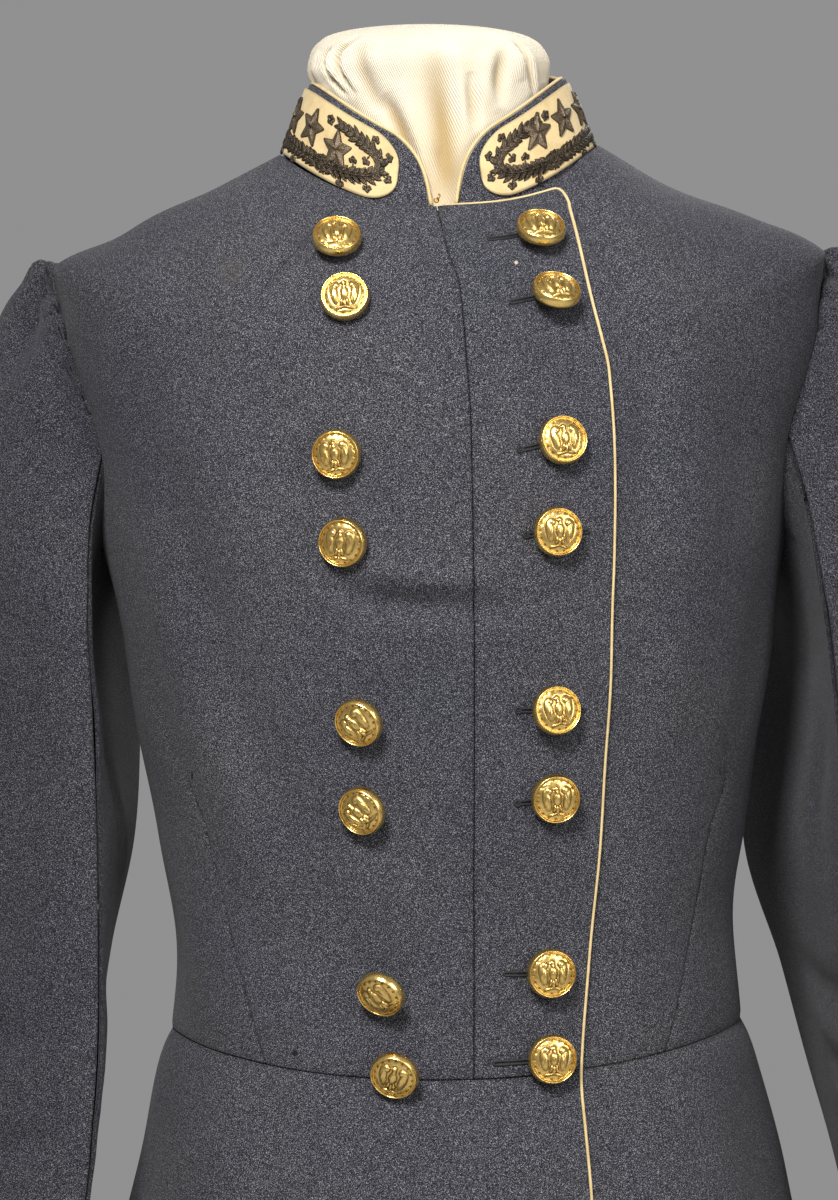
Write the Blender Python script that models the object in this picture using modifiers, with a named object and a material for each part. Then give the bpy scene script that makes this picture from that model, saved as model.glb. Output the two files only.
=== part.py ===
"""A double-breasted frock coat worn by a limbless dress form on a stand.

The coat is made from the pieces that a tailor cuts: foreparts, lapels, side bodies,
backs, skirts, top and under sleeves, a stand collar with its facing patches and stars,
an edge piping and sixteen domed buttons. The front faces -Y, +X is the wearer's left,
+Z is up, and the origin is under the middle of the stand's base, on the floor.
"""
import math

import bpy
import numpy as np
from mathutils import Matrix, Vector

# Cloth and seams, in metres.
CLOTH = 0.0020           # wool cloth with its interlining
COLLAR_CLOTH = 0.0026    # stiffened collar
PATCH_CLOTH = 0.0010     # pale facing patch on the collar
SEAM_GAP = 0.0006        # between two pieces that are sewn together
CREASE_GAP = 0.0007      # the same where the two pieces meet at an angle
LAYER_DROP = 0.0029      # how far the under front lies below the upper front
LAY_ON_GAP = 0.0004      # between a panel and what is laid on it

# The stand.
BASE_RADIUS = 0.200
BASE_THICKNESS = 0.010
POLE_RADIUS = 0.016
FORM_BOTTOM = 0.865      # underside of the torso, inside the skirts

# The coat's surface, a row for each ring. Level 0 is the waist seam, 1 the neck seam
# and -1 the hem; the widths and heights are those of the middle of the cloth.
RING_COLUMNS = ("level", "half_width", "front", "back", "middle",
                "front_height", "side_height", "back_height", "square", "climb")
RINGS = (
    (-1.000, 0.2400, -0.1850, 0.2150, 0.000, 0.505, 0.500, 0.497, 0.00, 2.2),
    (-0.810, 0.2210, -0.1710, 0.2000, 0.000, 0.601, 0.599, 0.597, 0.00, 2.2),
    (-0.620, 0.2030, -0.1580, 0.1830, 0.000, 0.699, 0.698, 0.697, 0.01, 2.2),
    (-0.425, 0.1840, -0.1440, 0.1630, 0.000, 0.797, 0.800, 0.800, 0.01, 2.2),
    (-0.330, 0.1740, -0.1370, 0.1500, 0.000, 0.845, 0.850, 0.850, 0.01, 2.2),
    (-0.233, 0.1635, -0.1290, 0.1360, 0.000, 0.893, 0.900, 0.900, 0.02, 2.2),
    (-0.162, 0.1553, -0.1225, 0.1250, 0.000, 0.927, 0.937, 0.937, 0.02, 2.2),
    (-0.118, 0.1503, -0.1195, 0.1170, 0.000, 0.947, 0.960, 0.960, 0.02, 2.2),
    (-0.055, 0.1420, -0.1145, 0.1050, 0.000, 0.976, 0.993, 0.993, 0.03, 2.2),
    (-0.020, 0.1370, -0.1115, 0.0980, 0.000, 0.992, 1.011, 1.012, 0.03, 2.2),
    (0.000, 0.1330, -0.1100, 0.0920, 0.000, 1.002, 1.0215, 1.022, 0.03, 2.2),
    (0.100, 0.1310, -0.1100, 0.0930, 0.000, 1.048, 1.062, 1.062, 0.03, 2.2),
    (0.250, 0.1370, -0.1140, 0.1000, 0.002, 1.105, 1.115, 1.118, 0.03, 2.2),
    (0.400, 0.1480, -0.1190, 0.1080, 0.004, 1.165, 1.172, 1.178, 0.03, 2.2),
    (0.550, 0.1575, -0.1230, 0.1140, 0.006, 1.228, 1.235, 1.245, 0.03, 2.2),
    (0.680, 0.1680, -0.1215, 0.1150, 0.009, 1.283, 1.300, 1.308, 0.01, 2.6),
    (0.800, 0.1860, -0.1140, 0.1100, 0.010, 1.338, 1.3805, 1.368, -0.04, 3.6),
    (0.880, 0.1474, -0.1060, 0.1030, 0.008, 1.360, 1.3955, 1.394, -0.01, 2.6),
    (0.940, 0.1137, -0.0930, 0.0880, 0.003, 1.380, 1.411, 1.417, 0.02, 2.2),
    (1.000, 0.0745, -0.0720, 0.0535, -0.005, 1.402, 1.4325, 1.446, 0.00, 2.2),
)
SKIRT_HEIGHT = 0.5215    # from waist seam to hem

# Front seams as seen from the front: height above the floor, distance from the middle.
LAPEL_SEAM = ((1.002, 0.0072), (1.040, 0.0080), (1.130, 0.0098), (1.220, 0.0116),
              (1.298, 0.0119), (1.335, 0.0103), (1.362, 0.0082), (1.381, 0.0027),
              (1.402, -0.0015))
FRONT_EDGE = ((0.500, 0.0760), (0.700, 0.0680), (0.850, 0.0620), (0.947, 0.0588),
              (0.978, 0.0568), (0.999, 0.0554), (1.015, 0.0562), (1.056, 0.0602),
              (1.101, 0.0652), (1.147, 0.0689), (1.197, 0.0727), (1.242, 0.0755),
              (1.288, 0.0756), (1.324, 0.0742), (1.338, 0.0718), (1.357, 0.0678),
              (1.385, 0.0624), (1.402, 0.0588))
LAPEL_TOP_FALL = 0.014   # how far the lapel's top edge falls below the neck seam, in levels
LAPEL_CORNER_FALL = 0.018  # and how much more at its rounded outer corner

# The armhole is an ellipse in angle and level round the arm.
ARMHOLE_ANGLE = 101.0
ARMHOLE_HALF_ANGLE = 25.5
ARMHOLE_LEVEL = 0.675
ARMHOLE_HALF_LEVEL = 0.125
ARMHOLE_STEP = 22.5      # degrees between rows round the armhole
BACK_SEAM_ROW = -45      # where the curved back seam leaves the armhole, degrees round it
BACK_SEAM_FOOT = 164.0   # angle of that seam at the waist
SHOULDER_SEAM_NECK = 124.0

# Sleeve sections from the upper arm to the cuff: height, the front and the rear crease
# seen from above, and how far the cloth swells outwards and inwards from the line
# between them. The wearer's right sleeve is at -X.
SLEEVE_COLUMNS = ("height", "tilt", "front_x", "front_y", "rear_x", "rear_y", "out", "into")
RIGHT_SLEEVE = (
    (1.212, 0.030, -0.1655, -0.060, -0.1535, 0.100, 0.074, -0.004),
    (1.170, 0.018, -0.1646, -0.060, -0.1515, 0.098, 0.077, -0.001),
    (1.110, 0.008, -0.1640, -0.062, -0.1615, 0.098, 0.079, 0.008),
    (1.040, 0.000, -0.1648, -0.068, -0.1850, 0.092, 0.073, 0.006),
    (0.970, -0.006, -0.1690, -0.084, -0.2050, 0.070, 0.061, 0.006),
    (0.900, -0.010, -0.1790, -0.104, -0.2200, 0.040, 0.051, 0.009),
    (0.830, -0.012, -0.1930, -0.122, -0.2320, 0.010, 0.043, 0.011),
    (0.765, -0.012, -0.2070, -0.136, -0.2420, -0.016, 0.036, 0.013),
)
LEFT_SLEEVE = (
    (1.212, 0.030, 0.1745, -0.056, 0.1535, 0.105, 0.070, -0.006),
    (1.170, 0.018, 0.1792, -0.058, 0.1500, 0.110, 0.074, -0.002),
    (1.110, 0.008, 0.1860, -0.062, 0.1434, 0.112, 0.077, 0.004),
    (1.040, 0.000, 0.1930, -0.070, 0.1625, 0.104, 0.072, 0.006),
    (0.970, -0.006, 0.1990, -0.086, 0.1790, 0.082, 0.061, 0.006),
    (0.900, -0.010, 0.2060, -0.106, 0.1960, 0.052, 0.051, 0.010),
    (0.830, -0.012, 0.2150, -0.124, 0.2110, 0.022, 0.043, 0.011),
    (0.765, -0.012, 0.2240, -0.138, 0.2240, -0.004, 0.036, 0.013),
)
CAP_SHARES = (0.0, 0.06, 0.17, 0.33, 0.55, 0.78)   # rows between the armhole and that first section
CAP_START_TOP = 0.95     # how straight out the sleeve leaves the armhole at the shoulder
CAP_START_SIDE = 0.14    # the same at the front and the back
CAP_START_UNDER = 0.45   # and below
CAP_END = 0.55           # and how straight it comes into the first section
SLEEVE_COLUMNS_ROUND = 14   # columns in each half of a sleeve
GATHER_DEPTH = 0.0040    # puckers at the sleeve head
GATHER_WAVE = 38.0       # degrees round the sleeve for one pucker
GATHER_SPREAD = 75.0     # degrees each side of the shoulder that they reach

# Collar, measured at its top edge.
COLLAR_TOP_HALF_WIDTH = 0.0590
COLLAR_TOP_FRONT = -0.0610
COLLAR_TOP_BACK = 0.0440
COLLAR_TOP_MIDDLE = -0.006
COLLAR_FRONT_HEIGHT = 1.429
COLLAR_SIDE_HEIGHT = 1.4645
COLLAR_BACK_HEIGHT = 1.484
COLLAR_RISE_POWER = 1.45
COLLAR_FOOT_SCALE = 0.966   # the foot lies inside the neck seam
COLLAR_FOOT_DROP = 0.0012
COLLAR_ROWS = (0.0, 0.30, 0.58, 0.80, 0.93, 1.0)
COLLAR_CORNER = 0.014    # how far the rounded front corner is cut back at the top
COLLAR_SLANT = 0.004
COLLAR_END_RIGHT = -0.0050
COLLAR_END_LEFT = 0.0084
PATCH_FRONT_ANGLE = 17.0
PATCH_BACK_ANGLE = 112.0
PATCH_LOW, PATCH_HIGH = 0.08, 0.86
STAR_ANGLES = (42.0, 62.5, 83.0)
STAR_RADIUS = 0.0085
STAR_WAIST = 0.42        # inner radius over outer radius
STAR_HEIGHT = 0.0020
STAR_EDGE = 0.0008

PIPING_RADIUS = 0.0008
BUTTON_RADIUS = 0.0115
BUTTON_SEGMENTS = 12
# Turned profile of a button: distance from its axis, height above the back of the rim.
SHANK_REACH, SHANK_RADIUS = 0.0028, 0.0020
BUTTON_PROFILE = ((0.0000, 0.0062), (0.0058, 0.0052), (0.0098, 0.0026), (BUTTON_RADIUS, 0.0012),
                  (0.0108, 0.0000), (0.0028, -0.0006), (SHANK_RADIUS, -SHANK_REACH), (0.0, -SHANK_REACH))
SHANK_GAP = 0.0002       # between the end of the shank and the cloth
RIM_GAP = 0.0002         # a tipped button leans on its rim, this far from the cloth
# One row for each button: height, distance from the middle, lean down and turn, degrees.
BUTTON_COLUMNS = ("height", "across", "lean", "turn")
RIGHT_ROW = (
    (1.3890, -0.0477, -3, 14), (1.3605, -0.0445, 6, 8), (1.2878, -0.0499, 10, 2),
    (1.2476, -0.0479, 10, -8), (1.1656, -0.0423, 20, -14), (1.1255, -0.0417, 14, -18),
    (1.0417, -0.0347, 38, -14), (1.0047, -0.0291, 28, -8),
)
LEFT_ROW = (
    (1.3913, 0.0461, -8, 2), (1.3617, 0.0522, -26, 0), (1.2926, 0.0537, -6, 4),
    (1.2507, 0.0505, 2, 2), (1.1697, 0.0484, -10, 4), (1.1292, 0.0471, 3, -2),
    (1.0496, 0.0437, 3, 0), (1.0105, 0.0434, 2, 0),
)

# Folds of the skirts: angle of the fold, how far it stands out at the hem, half width.
SKIRT_FOLDS = ((52, 0.010, 11), (78, -0.008, 10), (100, 0.012, 12), (124, -0.009, 9),
               (146, 0.014, 8), (160, -0.010, 7))
# A soft crease across the chest, between the two rows of buttons.
CHEST_CREASE = dict(height=1.222, across=-0.008, half_length=0.045, half_width=0.011, depth=0.0022)

# Form: how far it lies inside the cloth's middle, on the shoulders and elsewhere.
FORM_SHOULDER_GAP = 0.0025
FORM_BODY_GAP = 0.0075
FORM_SEGMENTS = 22
HIP_RINGS = ((0.865, 0.070), (0.867, 0.105), (0.876, 0.124), (0.900, 0.136),
             (0.940, 0.133), (0.980, 0.125))
HIP_DEPTH = 0.78         # hip depth over hip width
# Neck of the form: height, half width, front, back.
NECK_RINGS = ((1.428, 0.0545, -0.0565, 0.0400), (1.447, 0.0530, -0.0540, 0.0385),
              (1.462, 0.0550, -0.0550, 0.0400), (1.472, 0.0575, -0.0560, 0.0415),
              (1.483, 0.0540, -0.0530, 0.0390), (1.4895, 0.0440, -0.0430, 0.0300),
              (1.4915, 0.0200, -0.0230, 0.0110))

SURFACES = {
    "wool": ((0.050, 0.053, 0.066), 0.95, 0.0),
    "buff": ((0.70, 0.60, 0.38), 0.85, 0.0),
    "bullion": ((0.16, 0.13, 0.09), 0.45, 0.6),
    "gilt": ((0.80, 0.56, 0.20), 0.28, 1.0),
    "cotton": ((0.78, 0.73, 0.60), 0.9, 0.0),
    "steel": ((0.28, 0.28, 0.29), 0.4, 0.9),
}


def smooth(columns, rows, name, at):
    """A named column read along its first column, as a cubic that never overshoots a row."""
    data = np.array(rows, float)
    x, y = data[:, 0], data[:, columns.index(name)]
    at = np.clip(np.asarray(at, float), x.min(), x.max())
    if x[0] > x[-1]:
        x, y = x[::-1], y[::-1]
    step = np.diff(x)
    rise = np.diff(y) / step
    slope = np.zeros(len(x))
    same = rise[:-1] * rise[1:] > 0
    slope[1:-1][same] = 2 * rise[:-1][same] * rise[1:][same] / (rise[:-1] + rise[1:])[same]
    slope[0], slope[-1] = rise[0], rise[-1]
    i = np.clip(np.searchsorted(x, at, side="right") - 1, 0, len(step) - 1)
    t = (at - x[i]) / step[i]
    return (y[i] * (1 + 2 * t) * (1 - t) ** 2 + y[i + 1] * t * t * (3 - 2 * t)
            + step[i] * (slope[i] * t * (1 - t) ** 2 - slope[i + 1] * t * t * (1 - t)))


def ring(name, level):
    return smooth(RING_COLUMNS, RINGS, name, level)


def ease(t):
    t = np.clip(t, 0, 1)
    return t * t * (3 - 2 * t)


def bump(distance, half_width):
    return np.exp(-(distance / half_width) ** 2)


def bare_point(level, angle):
    """The coat's surface before folds. Angle is in degrees from the front to the wearer's left."""
    level, angle = np.broadcast_arrays(np.asarray(level, float), np.asarray(angle, float))
    turn = np.radians(angle)
    side, ahead = np.sin(turn), np.cos(turn)
    swell = 1 + ring("square", level) * np.sin(2 * turn) ** 2
    middle = ring("middle", level)
    reach = np.where(ahead > 0, middle - ring("front", level), ring("back", level) - middle)
    end_height = np.where(ahead > 0, ring("front_height", level), ring("back_height", level))
    climb = np.abs(side) ** ring("climb", level)
    return np.stack([ring("half_width", level) * side * swell,
                     middle - reach * ahead * swell,
                     end_height + (ring("side_height", level) - end_height) * climb], -1)


def fold(level, angle):
    """How far the cloth stands out of its bare surface, in metres."""
    drop = np.clip(-np.asarray(level, float), 0, 1)
    round_back = np.abs((np.asarray(angle, float) + 180) % 360 - 180)
    out = sum(depth * bump(round_back - at, width) for at, depth, width in SKIRT_FOLDS)
    x, _, z = np.moveaxis(bare_point(level, angle), -1, 0)
    crease = CHEST_CREASE
    across = bump(x - crease["across"], crease["half_length"]) * (round_back < 90)
    return out * drop ** 1.3 - crease["depth"] * across * bump(z - crease["height"], crease["half_width"])


def body_normal(level, angle):
    level, angle = np.broadcast_arrays(np.asarray(level, float), np.asarray(angle, float))
    up = bare_point(np.minimum(level + 0.004, 1), angle) - bare_point(np.maximum(level - 0.004, -1), angle)
    normal = np.cross(bare_point(level, angle + 0.5) - bare_point(level, angle - 0.5), up)
    return normal / np.linalg.norm(normal, axis=-1, keepdims=True)


def body_point(level, angle, lift=0.0):
    """A point of the folded surface, moved out along the surface's normal by lift."""
    return bare_point(level, angle) + body_normal(level, angle) * (lift + fold(level, angle))[..., None]


def half_gap(level, angle, gap=SEAM_GAP):
    """Half the gap of an upright seam, as degrees round the body."""
    return gap / 2 / np.linalg.norm(bare_point(level, angle + 0.5) - bare_point(level, angle - 0.5), axis=-1)


def angle_at(level, across):
    """The angle whose point at this level lies that far from the middle; across is a distance or a table."""
    level = np.asarray(level, float)
    angle = np.full(level.shape, 5.0)
    for _ in range(8):
        height = bare_point(level, angle)[..., 2]
        x = across if np.isscalar(across) else smooth(("height", "across"), across, "across", height)
        swell = 1 + ring("square", level) * np.sin(2 * np.radians(angle)) ** 2
        angle = np.degrees(np.arcsin(np.clip(x / ring("half_width", level) / swell, -1, 1)))
    return angle


def front_place(height, across):
    """The level and angle of a place on the front given as height and distance from the middle."""
    level = 0.5
    for _ in range(40):
        angle = float(angle_at(level, across))
        level += 1.5 * (height - float(bare_point(level, angle)[2]))
        level = min(max(level, -1.0), 1.0)
    return level, angle


def edge_angle(level):
    return angle_at(level, FRONT_EDGE)


def tuck(level, angle):
    """How far the wearer's left front drops to pass under the right one."""
    return -LAYER_DROP * ease((edge_angle(level) + 11 - angle) / 8)


def armhole(turn):
    """Level and angle at a place round the armhole: 0 is the shoulder, 90 the front."""
    turn = np.radians(turn)
    return (ARMHOLE_LEVEL + ARMHOLE_HALF_LEVEL * np.cos(turn),
            ARMHOLE_ANGLE - ARMHOLE_HALF_ANGLE * np.sin(turn))


ARMHOLE_LEVELS = ARMHOLE_LEVEL + ARMHOLE_HALF_LEVEL * np.sin(
    np.radians(np.arange(-90, 91, ARMHOLE_STEP)))
WAIST_LEVELS = (CREASE_GAP / 2 / SKIRT_HEIGHT, 0.06, 0.14, 0.23, 0.32, 0.40, 0.48)
SHOULDER_LEVELS = (0.84, 0.88, 0.92, 0.96, 0.999)
BODY_LEVELS = np.array([*WAIST_LEVELS, *ARMHOLE_LEVELS, *SHOULDER_LEVELS])
BACK_SEAM_TOP = ARMHOLE_LEVEL + ARMHOLE_HALF_LEVEL * math.sin(math.radians(BACK_SEAM_ROW))


def armhole_side(level, rear):
    """The armhole's angle at a level: its front half, or its rear half."""
    share = np.clip((level - ARMHOLE_LEVEL) / ARMHOLE_HALF_LEVEL, -1, 1)
    reach = ARMHOLE_HALF_ANGLE * np.sqrt(1 - share ** 2)
    return ARMHOLE_ANGLE + (reach if rear else -reach)


def shoulder_seam(level):
    top = ARMHOLE_LEVEL + ARMHOLE_HALF_LEVEL
    return ARMHOLE_ANGLE + (SHOULDER_SEAM_NECK - ARMHOLE_ANGLE) * np.clip((level - top) / (1 - top), 0, 1)


def back_seam(level):
    """The curved seam between side body and back, from the waist to the armhole."""
    share = np.clip(level / BACK_SEAM_TOP, 0, 1)
    top = armhole_side(BACK_SEAM_TOP, True)
    return BACK_SEAM_FOOT + (top - BACK_SEAM_FOOT) * share ** 1.5


def forepart_outer(level):
    return np.where(level <= BODY_LEVELS[len(WAIST_LEVELS)], ARMHOLE_ANGLE,
                    np.where(level < SHOULDER_LEVELS[0], armhole_side(level, False), shoulder_seam(level)))


def back_outer(level):
    return np.where(level < BACK_SEAM_TOP - 1e-6, back_seam(level),
                    np.where(level < SHOULDER_LEVELS[0], armhole_side(level, True), shoulder_seam(level)))


def material(name):
    made = bpy.data.materials.get(name)
    if made is None:
        colour, rough, metal = SURFACES[name]
        made = bpy.data.materials.new(name)
        made.use_nodes = True
        shader = made.node_tree.nodes["Principled BSDF"]
        shader.inputs["Base Color"].default_value = (*colour, 1)
        shader.inputs["Roughness"].default_value = rough
        shader.inputs["Metallic"].default_value = metal
        made.diffuse_color = (*colour, 1)
    return made


def add_object(name, mesh, surface):
    obj = bpy.data.objects.new(name, mesh)
    if not mesh.materials:
        mesh.materials.append(material(surface))
    coat.objects.link(obj)
    return obj


def add_wall(name, points, thickness, surface, flip=False):
    """A cloth wall: an open grid of points, rows by columns, given its thickness by Solidify."""
    rows, columns = points.shape[:2]
    index = np.arange(rows * columns).reshape(rows, columns)
    faces = np.stack([index[:-1, :-1], index[:-1, 1:], index[1:, 1:], index[1:, :-1]], -1).reshape(-1, 4)
    if flip:
        faces = faces[:, ::-1]
    mesh = bpy.data.meshes.new(name)
    mesh.from_pydata(points.reshape(-1, 3).tolist(), [], faces.tolist())
    mesh.shade_smooth()
    obj = add_object(name, mesh, surface)
    wall = obj.modifiers.new("wall", "SOLIDIFY")
    wall.thickness = thickness
    wall.offset = 0
    return obj


def body_panel(name, side, levels, start, stop, columns, lift=0.0):
    """A panel between two angles at each level, on the wearer's left (side 1) or right (-1)."""
    share = np.linspace(0, 1, columns + 1)[None, :]
    level = np.asarray(levels, float)[:, None]
    angle = start[:, None] * (1 - share) + stop[:, None] * share
    level, angle = np.broadcast_arrays(level, angle)
    raise_by = lift(level, angle) if callable(lift) else lift
    return add_wall(name, body_point(level, angle, raise_by), CLOTH, "wool", flip=side < 0)


def make_bodice():
    """Foreparts, side bodies and backs."""
    levels = BODY_LEVELS
    side_seam, back = forepart_outer(levels), back_outer(levels)
    front = {-1: angle_at(levels, LAPEL_SEAM), 1: angle_at(levels, mirrored(LAPEL_SEAM))}
    for side, hand in ((-1, "right"), (1, "left")):
        body_panel(f"forepart_{hand}", side, levels, front[side] + side * half_gap(levels, front[side]),
                   side * (side_seam - half_gap(levels, side_seam)), 10, tuck if side > 0 else 0.0)
        body_panel(f"back_{hand}", side, levels, side * (back + half_gap(levels, back)),
                   side * (180 - half_gap(levels, 180.0)), 6)
        make_side_body(f"side_body_{hand}", side)


def mirrored(line):
    return tuple((height, -across) for height, across in line)


def make_side_body(name, side):
    """The narrow panel under the arm; its top follows the bottom of the armhole."""
    turns = np.arange(-90, BACK_SEAM_ROW + 1, ARMHOLE_STEP)
    turns = np.sort(np.concatenate([turns, (turns[:-1] + turns[1:]) / 2]))
    top_level = ARMHOLE_LEVEL + ARMHOLE_HALF_LEVEL * np.sin(np.radians(turns))
    top_angle = ARMHOLE_ANGLE + ARMHOLE_HALF_ANGLE * np.cos(np.radians(turns))
    across = (top_angle - top_angle[0]) / (top_angle[-1] - top_angle[0])
    seam_levels = np.array([*WAIST_LEVELS, ARMHOLE_LEVELS[0]])
    up = (seam_levels / seam_levels[-1])[:, None]
    level = np.maximum(up * top_level[None, :], WAIST_LEVELS[0])
    front, rear = np.full_like(level, ARMHOLE_ANGLE), back_seam(level)
    front, rear = front + half_gap(level, front), rear - half_gap(level, rear)
    angle = front + (rear - front) * across[None, :]
    add_wall(name, body_point(level, side * angle), CLOTH, "wool", flip=side < 0)


def lapel_place(rise, share, side):
    """Level and angle of a place on a lapel: rise 0 is the waist and 1 the top edge, share 0 is
    the seam and 1 the free edge."""
    fall = LAPEL_TOP_FALL * share + LAPEL_CORNER_FALL * np.clip((share - 0.84) / 0.16, 0, 1) ** 2
    level = rise - fall * ease((rise - 0.8) / 0.2)
    seam_line, edge_line = (LAPEL_SEAM, FRONT_EDGE) if side < 0 else (mirrored(LAPEL_SEAM), mirrored(FRONT_EDGE))
    seam = angle_at(level, seam_line)
    seam = seam - side * half_gap(level, seam)
    return level, seam + (angle_at(level, edge_line) - seam) * share


def make_lapels():
    """The upper lapel is the wearer's right one and crosses over; the left one lies under it."""
    share = np.array([0.0, 0.28, 0.56, 0.84, 0.95, 1.0])[None, :]
    rise = np.append(BODY_LEVELS[:-1], 0.999)[:, None]
    for side, hand in ((-1, "right"), (1, "left")):
        level, angle = lapel_place(rise, share, side)
        points = body_point(level, angle, tuck(level, angle) if side > 0 else 0.0)
        add_wall(f"lapel_{hand}", points, CLOTH, "wool", flip=side > 0)


def skirt_levels():
    return -np.array([CREASE_GAP / 2 / SKIRT_HEIGHT, 0.020, 0.055, 0.110, 0.18, 0.28, 0.40, 0.53, 0.67,
                      0.83, 1.0])


def make_skirts():
    """Each skirt runs from the front edge round to the vent at the back, where they overlap again."""
    level = skirt_levels()[:, None]
    shared = np.arange(16, -177, -8.0)
    for side, hand in ((-1, "right"), (1, "left")):
        edge = edge_angle(level)
        rest = np.broadcast_to(shared[None, :], (level.shape[0], len(shared)))
        angle = -side * np.concatenate([edge, rest, np.full_like(edge, -184.0)], axis=1)
        levels = np.broadcast_to(level, angle.shape)
        if side > 0:
            drop = tuck(levels, angle)
        else:
            drop = -LAYER_DROP * ease((-angle - 158) / 9)
        add_wall(f"skirt_{hand}", body_point(levels, angle, drop), CLOTH, "wool", flip=side < 0)


def gathers(turn, share):
    """Puckers of the sleeve head: they fade down the sleeve and to each side of the shoulder."""
    reach = ease(1 - np.abs(turn) / GATHER_SPREAD)
    return GATHER_DEPTH * reach * np.sin(np.pi * np.clip(share, 0, 1)) * np.cos(2 * np.pi * turn / GATHER_WAVE)


def sleeve_section(table, side, height, turn):
    """One ring of a sleeve: 0 is its outer side, 90 the front crease, 180 the inner side."""
    value = {name: smooth(SLEEVE_COLUMNS, table, name, height) for name in SLEEVE_COLUMNS[1:]}
    turn = np.radians(turn)
    front = np.array([value["front_x"], value["front_y"]])
    rear = np.array([value["rear_x"], value["rear_y"]])
    outward = np.array([front[1] - rear[1], rear[0] - front[0]]) * -side
    outward /= np.linalg.norm(outward)
    swell = np.where(np.cos(turn) > 0, value["out"], -value["into"]) * np.abs(np.cos(turn))
    plan = (front + rear) / 2 + np.sin(turn)[:, None] * (front - rear) / 2 + swell[:, None] * outward
    return np.column_stack([plan, height + value["tilt"] * np.cos(turn)])


def sleeve_rows(table, side):
    """Close rings of points from the armhole to the cuff, each once round from the rear crease."""
    turn = np.arange(-90.0, 271, 2)
    level, angle = armhole(turn)
    out = body_normal(level, side * angle)
    start = body_point(level, side * angle, CLOTH / 2 + CREASE_GAP)
    first = sleeve_section(table, side, table[0][0], turn)
    down = first - sleeve_section(table, side, table[1][0], turn)
    span = np.linalg.norm(first - start, axis=1, keepdims=True)
    down *= -span / np.linalg.norm(down, axis=1, keepdims=True)
    away = first - first.mean(axis=0)
    away[:, 2] = 0
    away /= np.linalg.norm(away, axis=1, keepdims=True)
    upward = np.cos(np.radians(turn))
    begin = CAP_START_SIDE + np.where(upward > 0, (CAP_START_TOP - CAP_START_SIDE) * np.abs(upward) ** 0.7,
                                      (CAP_START_UNDER - CAP_START_SIDE) * np.abs(upward) ** 0.5)
    rows = []
    for t in CAP_SHARES:
        row = ((1 + 2 * t) * (1 - t) ** 2 * start + t * (1 - t) ** 2 * begin[:, None] * span * out
               + t * t * (3 - 2 * t) * first - t * t * (1 - t) * CAP_END * down)
        rows.append(row + away * gathers(turn, 1.7 * t)[:, None])
    rows += [sleeve_section(table, side, line[0], turn) for line in table]
    return np.array(rows)


def stop_short(crease, one, other):
    """How far a wall ends before a crease, row by row, to clear the wall that meets it there."""
    line = np.gradient(crease, axis=0)
    line /= np.linalg.norm(line, axis=1, keepdims=True)
    one, other = one - crease, other - crease
    length = np.linalg.norm(one, axis=1)
    one, other = (way - (way * line).sum(1, keepdims=True) * line for way in (one, other))
    level, far = np.linalg.norm(one, axis=1), np.linalg.norm(other, axis=1)
    opening = np.arccos(np.clip((one * other).sum(1) / level / far, -1, 1))
    return (SEAM_GAP / 2 + CLOTH / 2 / np.tan(opening / 2)) * length / level


def make_sleeves():
    """Each sleeve is a top sleeve and an under sleeve, joined at the front and rear creases."""
    for side, hand, table in ((-1, "right", RIGHT_SLEEVE), (1, "left", LEFT_SLEEVE)):
        loop = sleeve_rows(table, side)[:, :-1]
        half = loop.shape[1] // 2
        for piece, first in (("top", 0), ("under", half)):
            run = np.roll(loop, -first, axis=1)[:, :half + 1]
            rest = np.roll(loop, -first - half, axis=1)[:, :half + 1]
            begins = stop_short(run[:, 0], run[:, 6], rest[:, -7])
            ends = stop_short(run[:, -1], run[:, -7], rest[:, 6])
            rows = []
            for points, begin, end in zip(run, begins, ends):
                length = np.append(0, np.cumsum(np.linalg.norm(np.diff(points, axis=0), axis=1)))
                at = np.linspace(begin, length[-1] - end, SLEEVE_COLUMNS_ROUND + 1)
                rows.append(np.stack([np.interp(at, length, points[:, k]) for k in range(3)], -1))
            add_wall(f"{piece}_sleeve_{hand}", np.array(rows), CLOTH, "wool", flip=side > 0)


def collar_bare(angle, share):
    """The collar's middle surface: share 0 is the neck seam and 1 the top edge."""
    angle, share = np.broadcast_arrays(np.asarray(angle, float), np.asarray(share, float))
    middle = np.array([0, ring("middle", 1.0), 0])
    foot = middle + (bare_point(np.ones_like(angle), angle) - middle) * [COLLAR_FOOT_SCALE, COLLAR_FOOT_SCALE, 1]
    foot[..., 2] -= COLLAR_FOOT_DROP
    turn = np.radians(angle)
    ahead = np.cos(turn)
    reach = np.where(ahead > 0, COLLAR_TOP_MIDDLE - COLLAR_TOP_FRONT, COLLAR_TOP_BACK - COLLAR_TOP_MIDDLE)
    end_height = np.where(ahead > 0, COLLAR_FRONT_HEIGHT, COLLAR_BACK_HEIGHT)
    climb = np.abs(np.sin(turn)) ** COLLAR_RISE_POWER
    top = np.stack([COLLAR_TOP_HALF_WIDTH * np.sin(turn), COLLAR_TOP_MIDDLE - reach * ahead,
                    end_height + (COLLAR_SIDE_HEIGHT - end_height) * climb], -1)
    return foot + (top - foot) * share[..., None]


def collar_normal(angle, share):
    normal = np.cross(collar_bare(angle + 0.5, share) - collar_bare(angle - 0.5, share),
                      collar_bare(angle, 1.0) - collar_bare(angle, 0.0))
    return normal / np.linalg.norm(normal, axis=-1, keepdims=True)


def collar_point(angle, share, lift=0.0):
    angle, share = np.broadcast_arrays(np.asarray(angle, float), np.asarray(share, float))
    return collar_bare(angle, share) + collar_normal(angle, share) * lift


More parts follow.
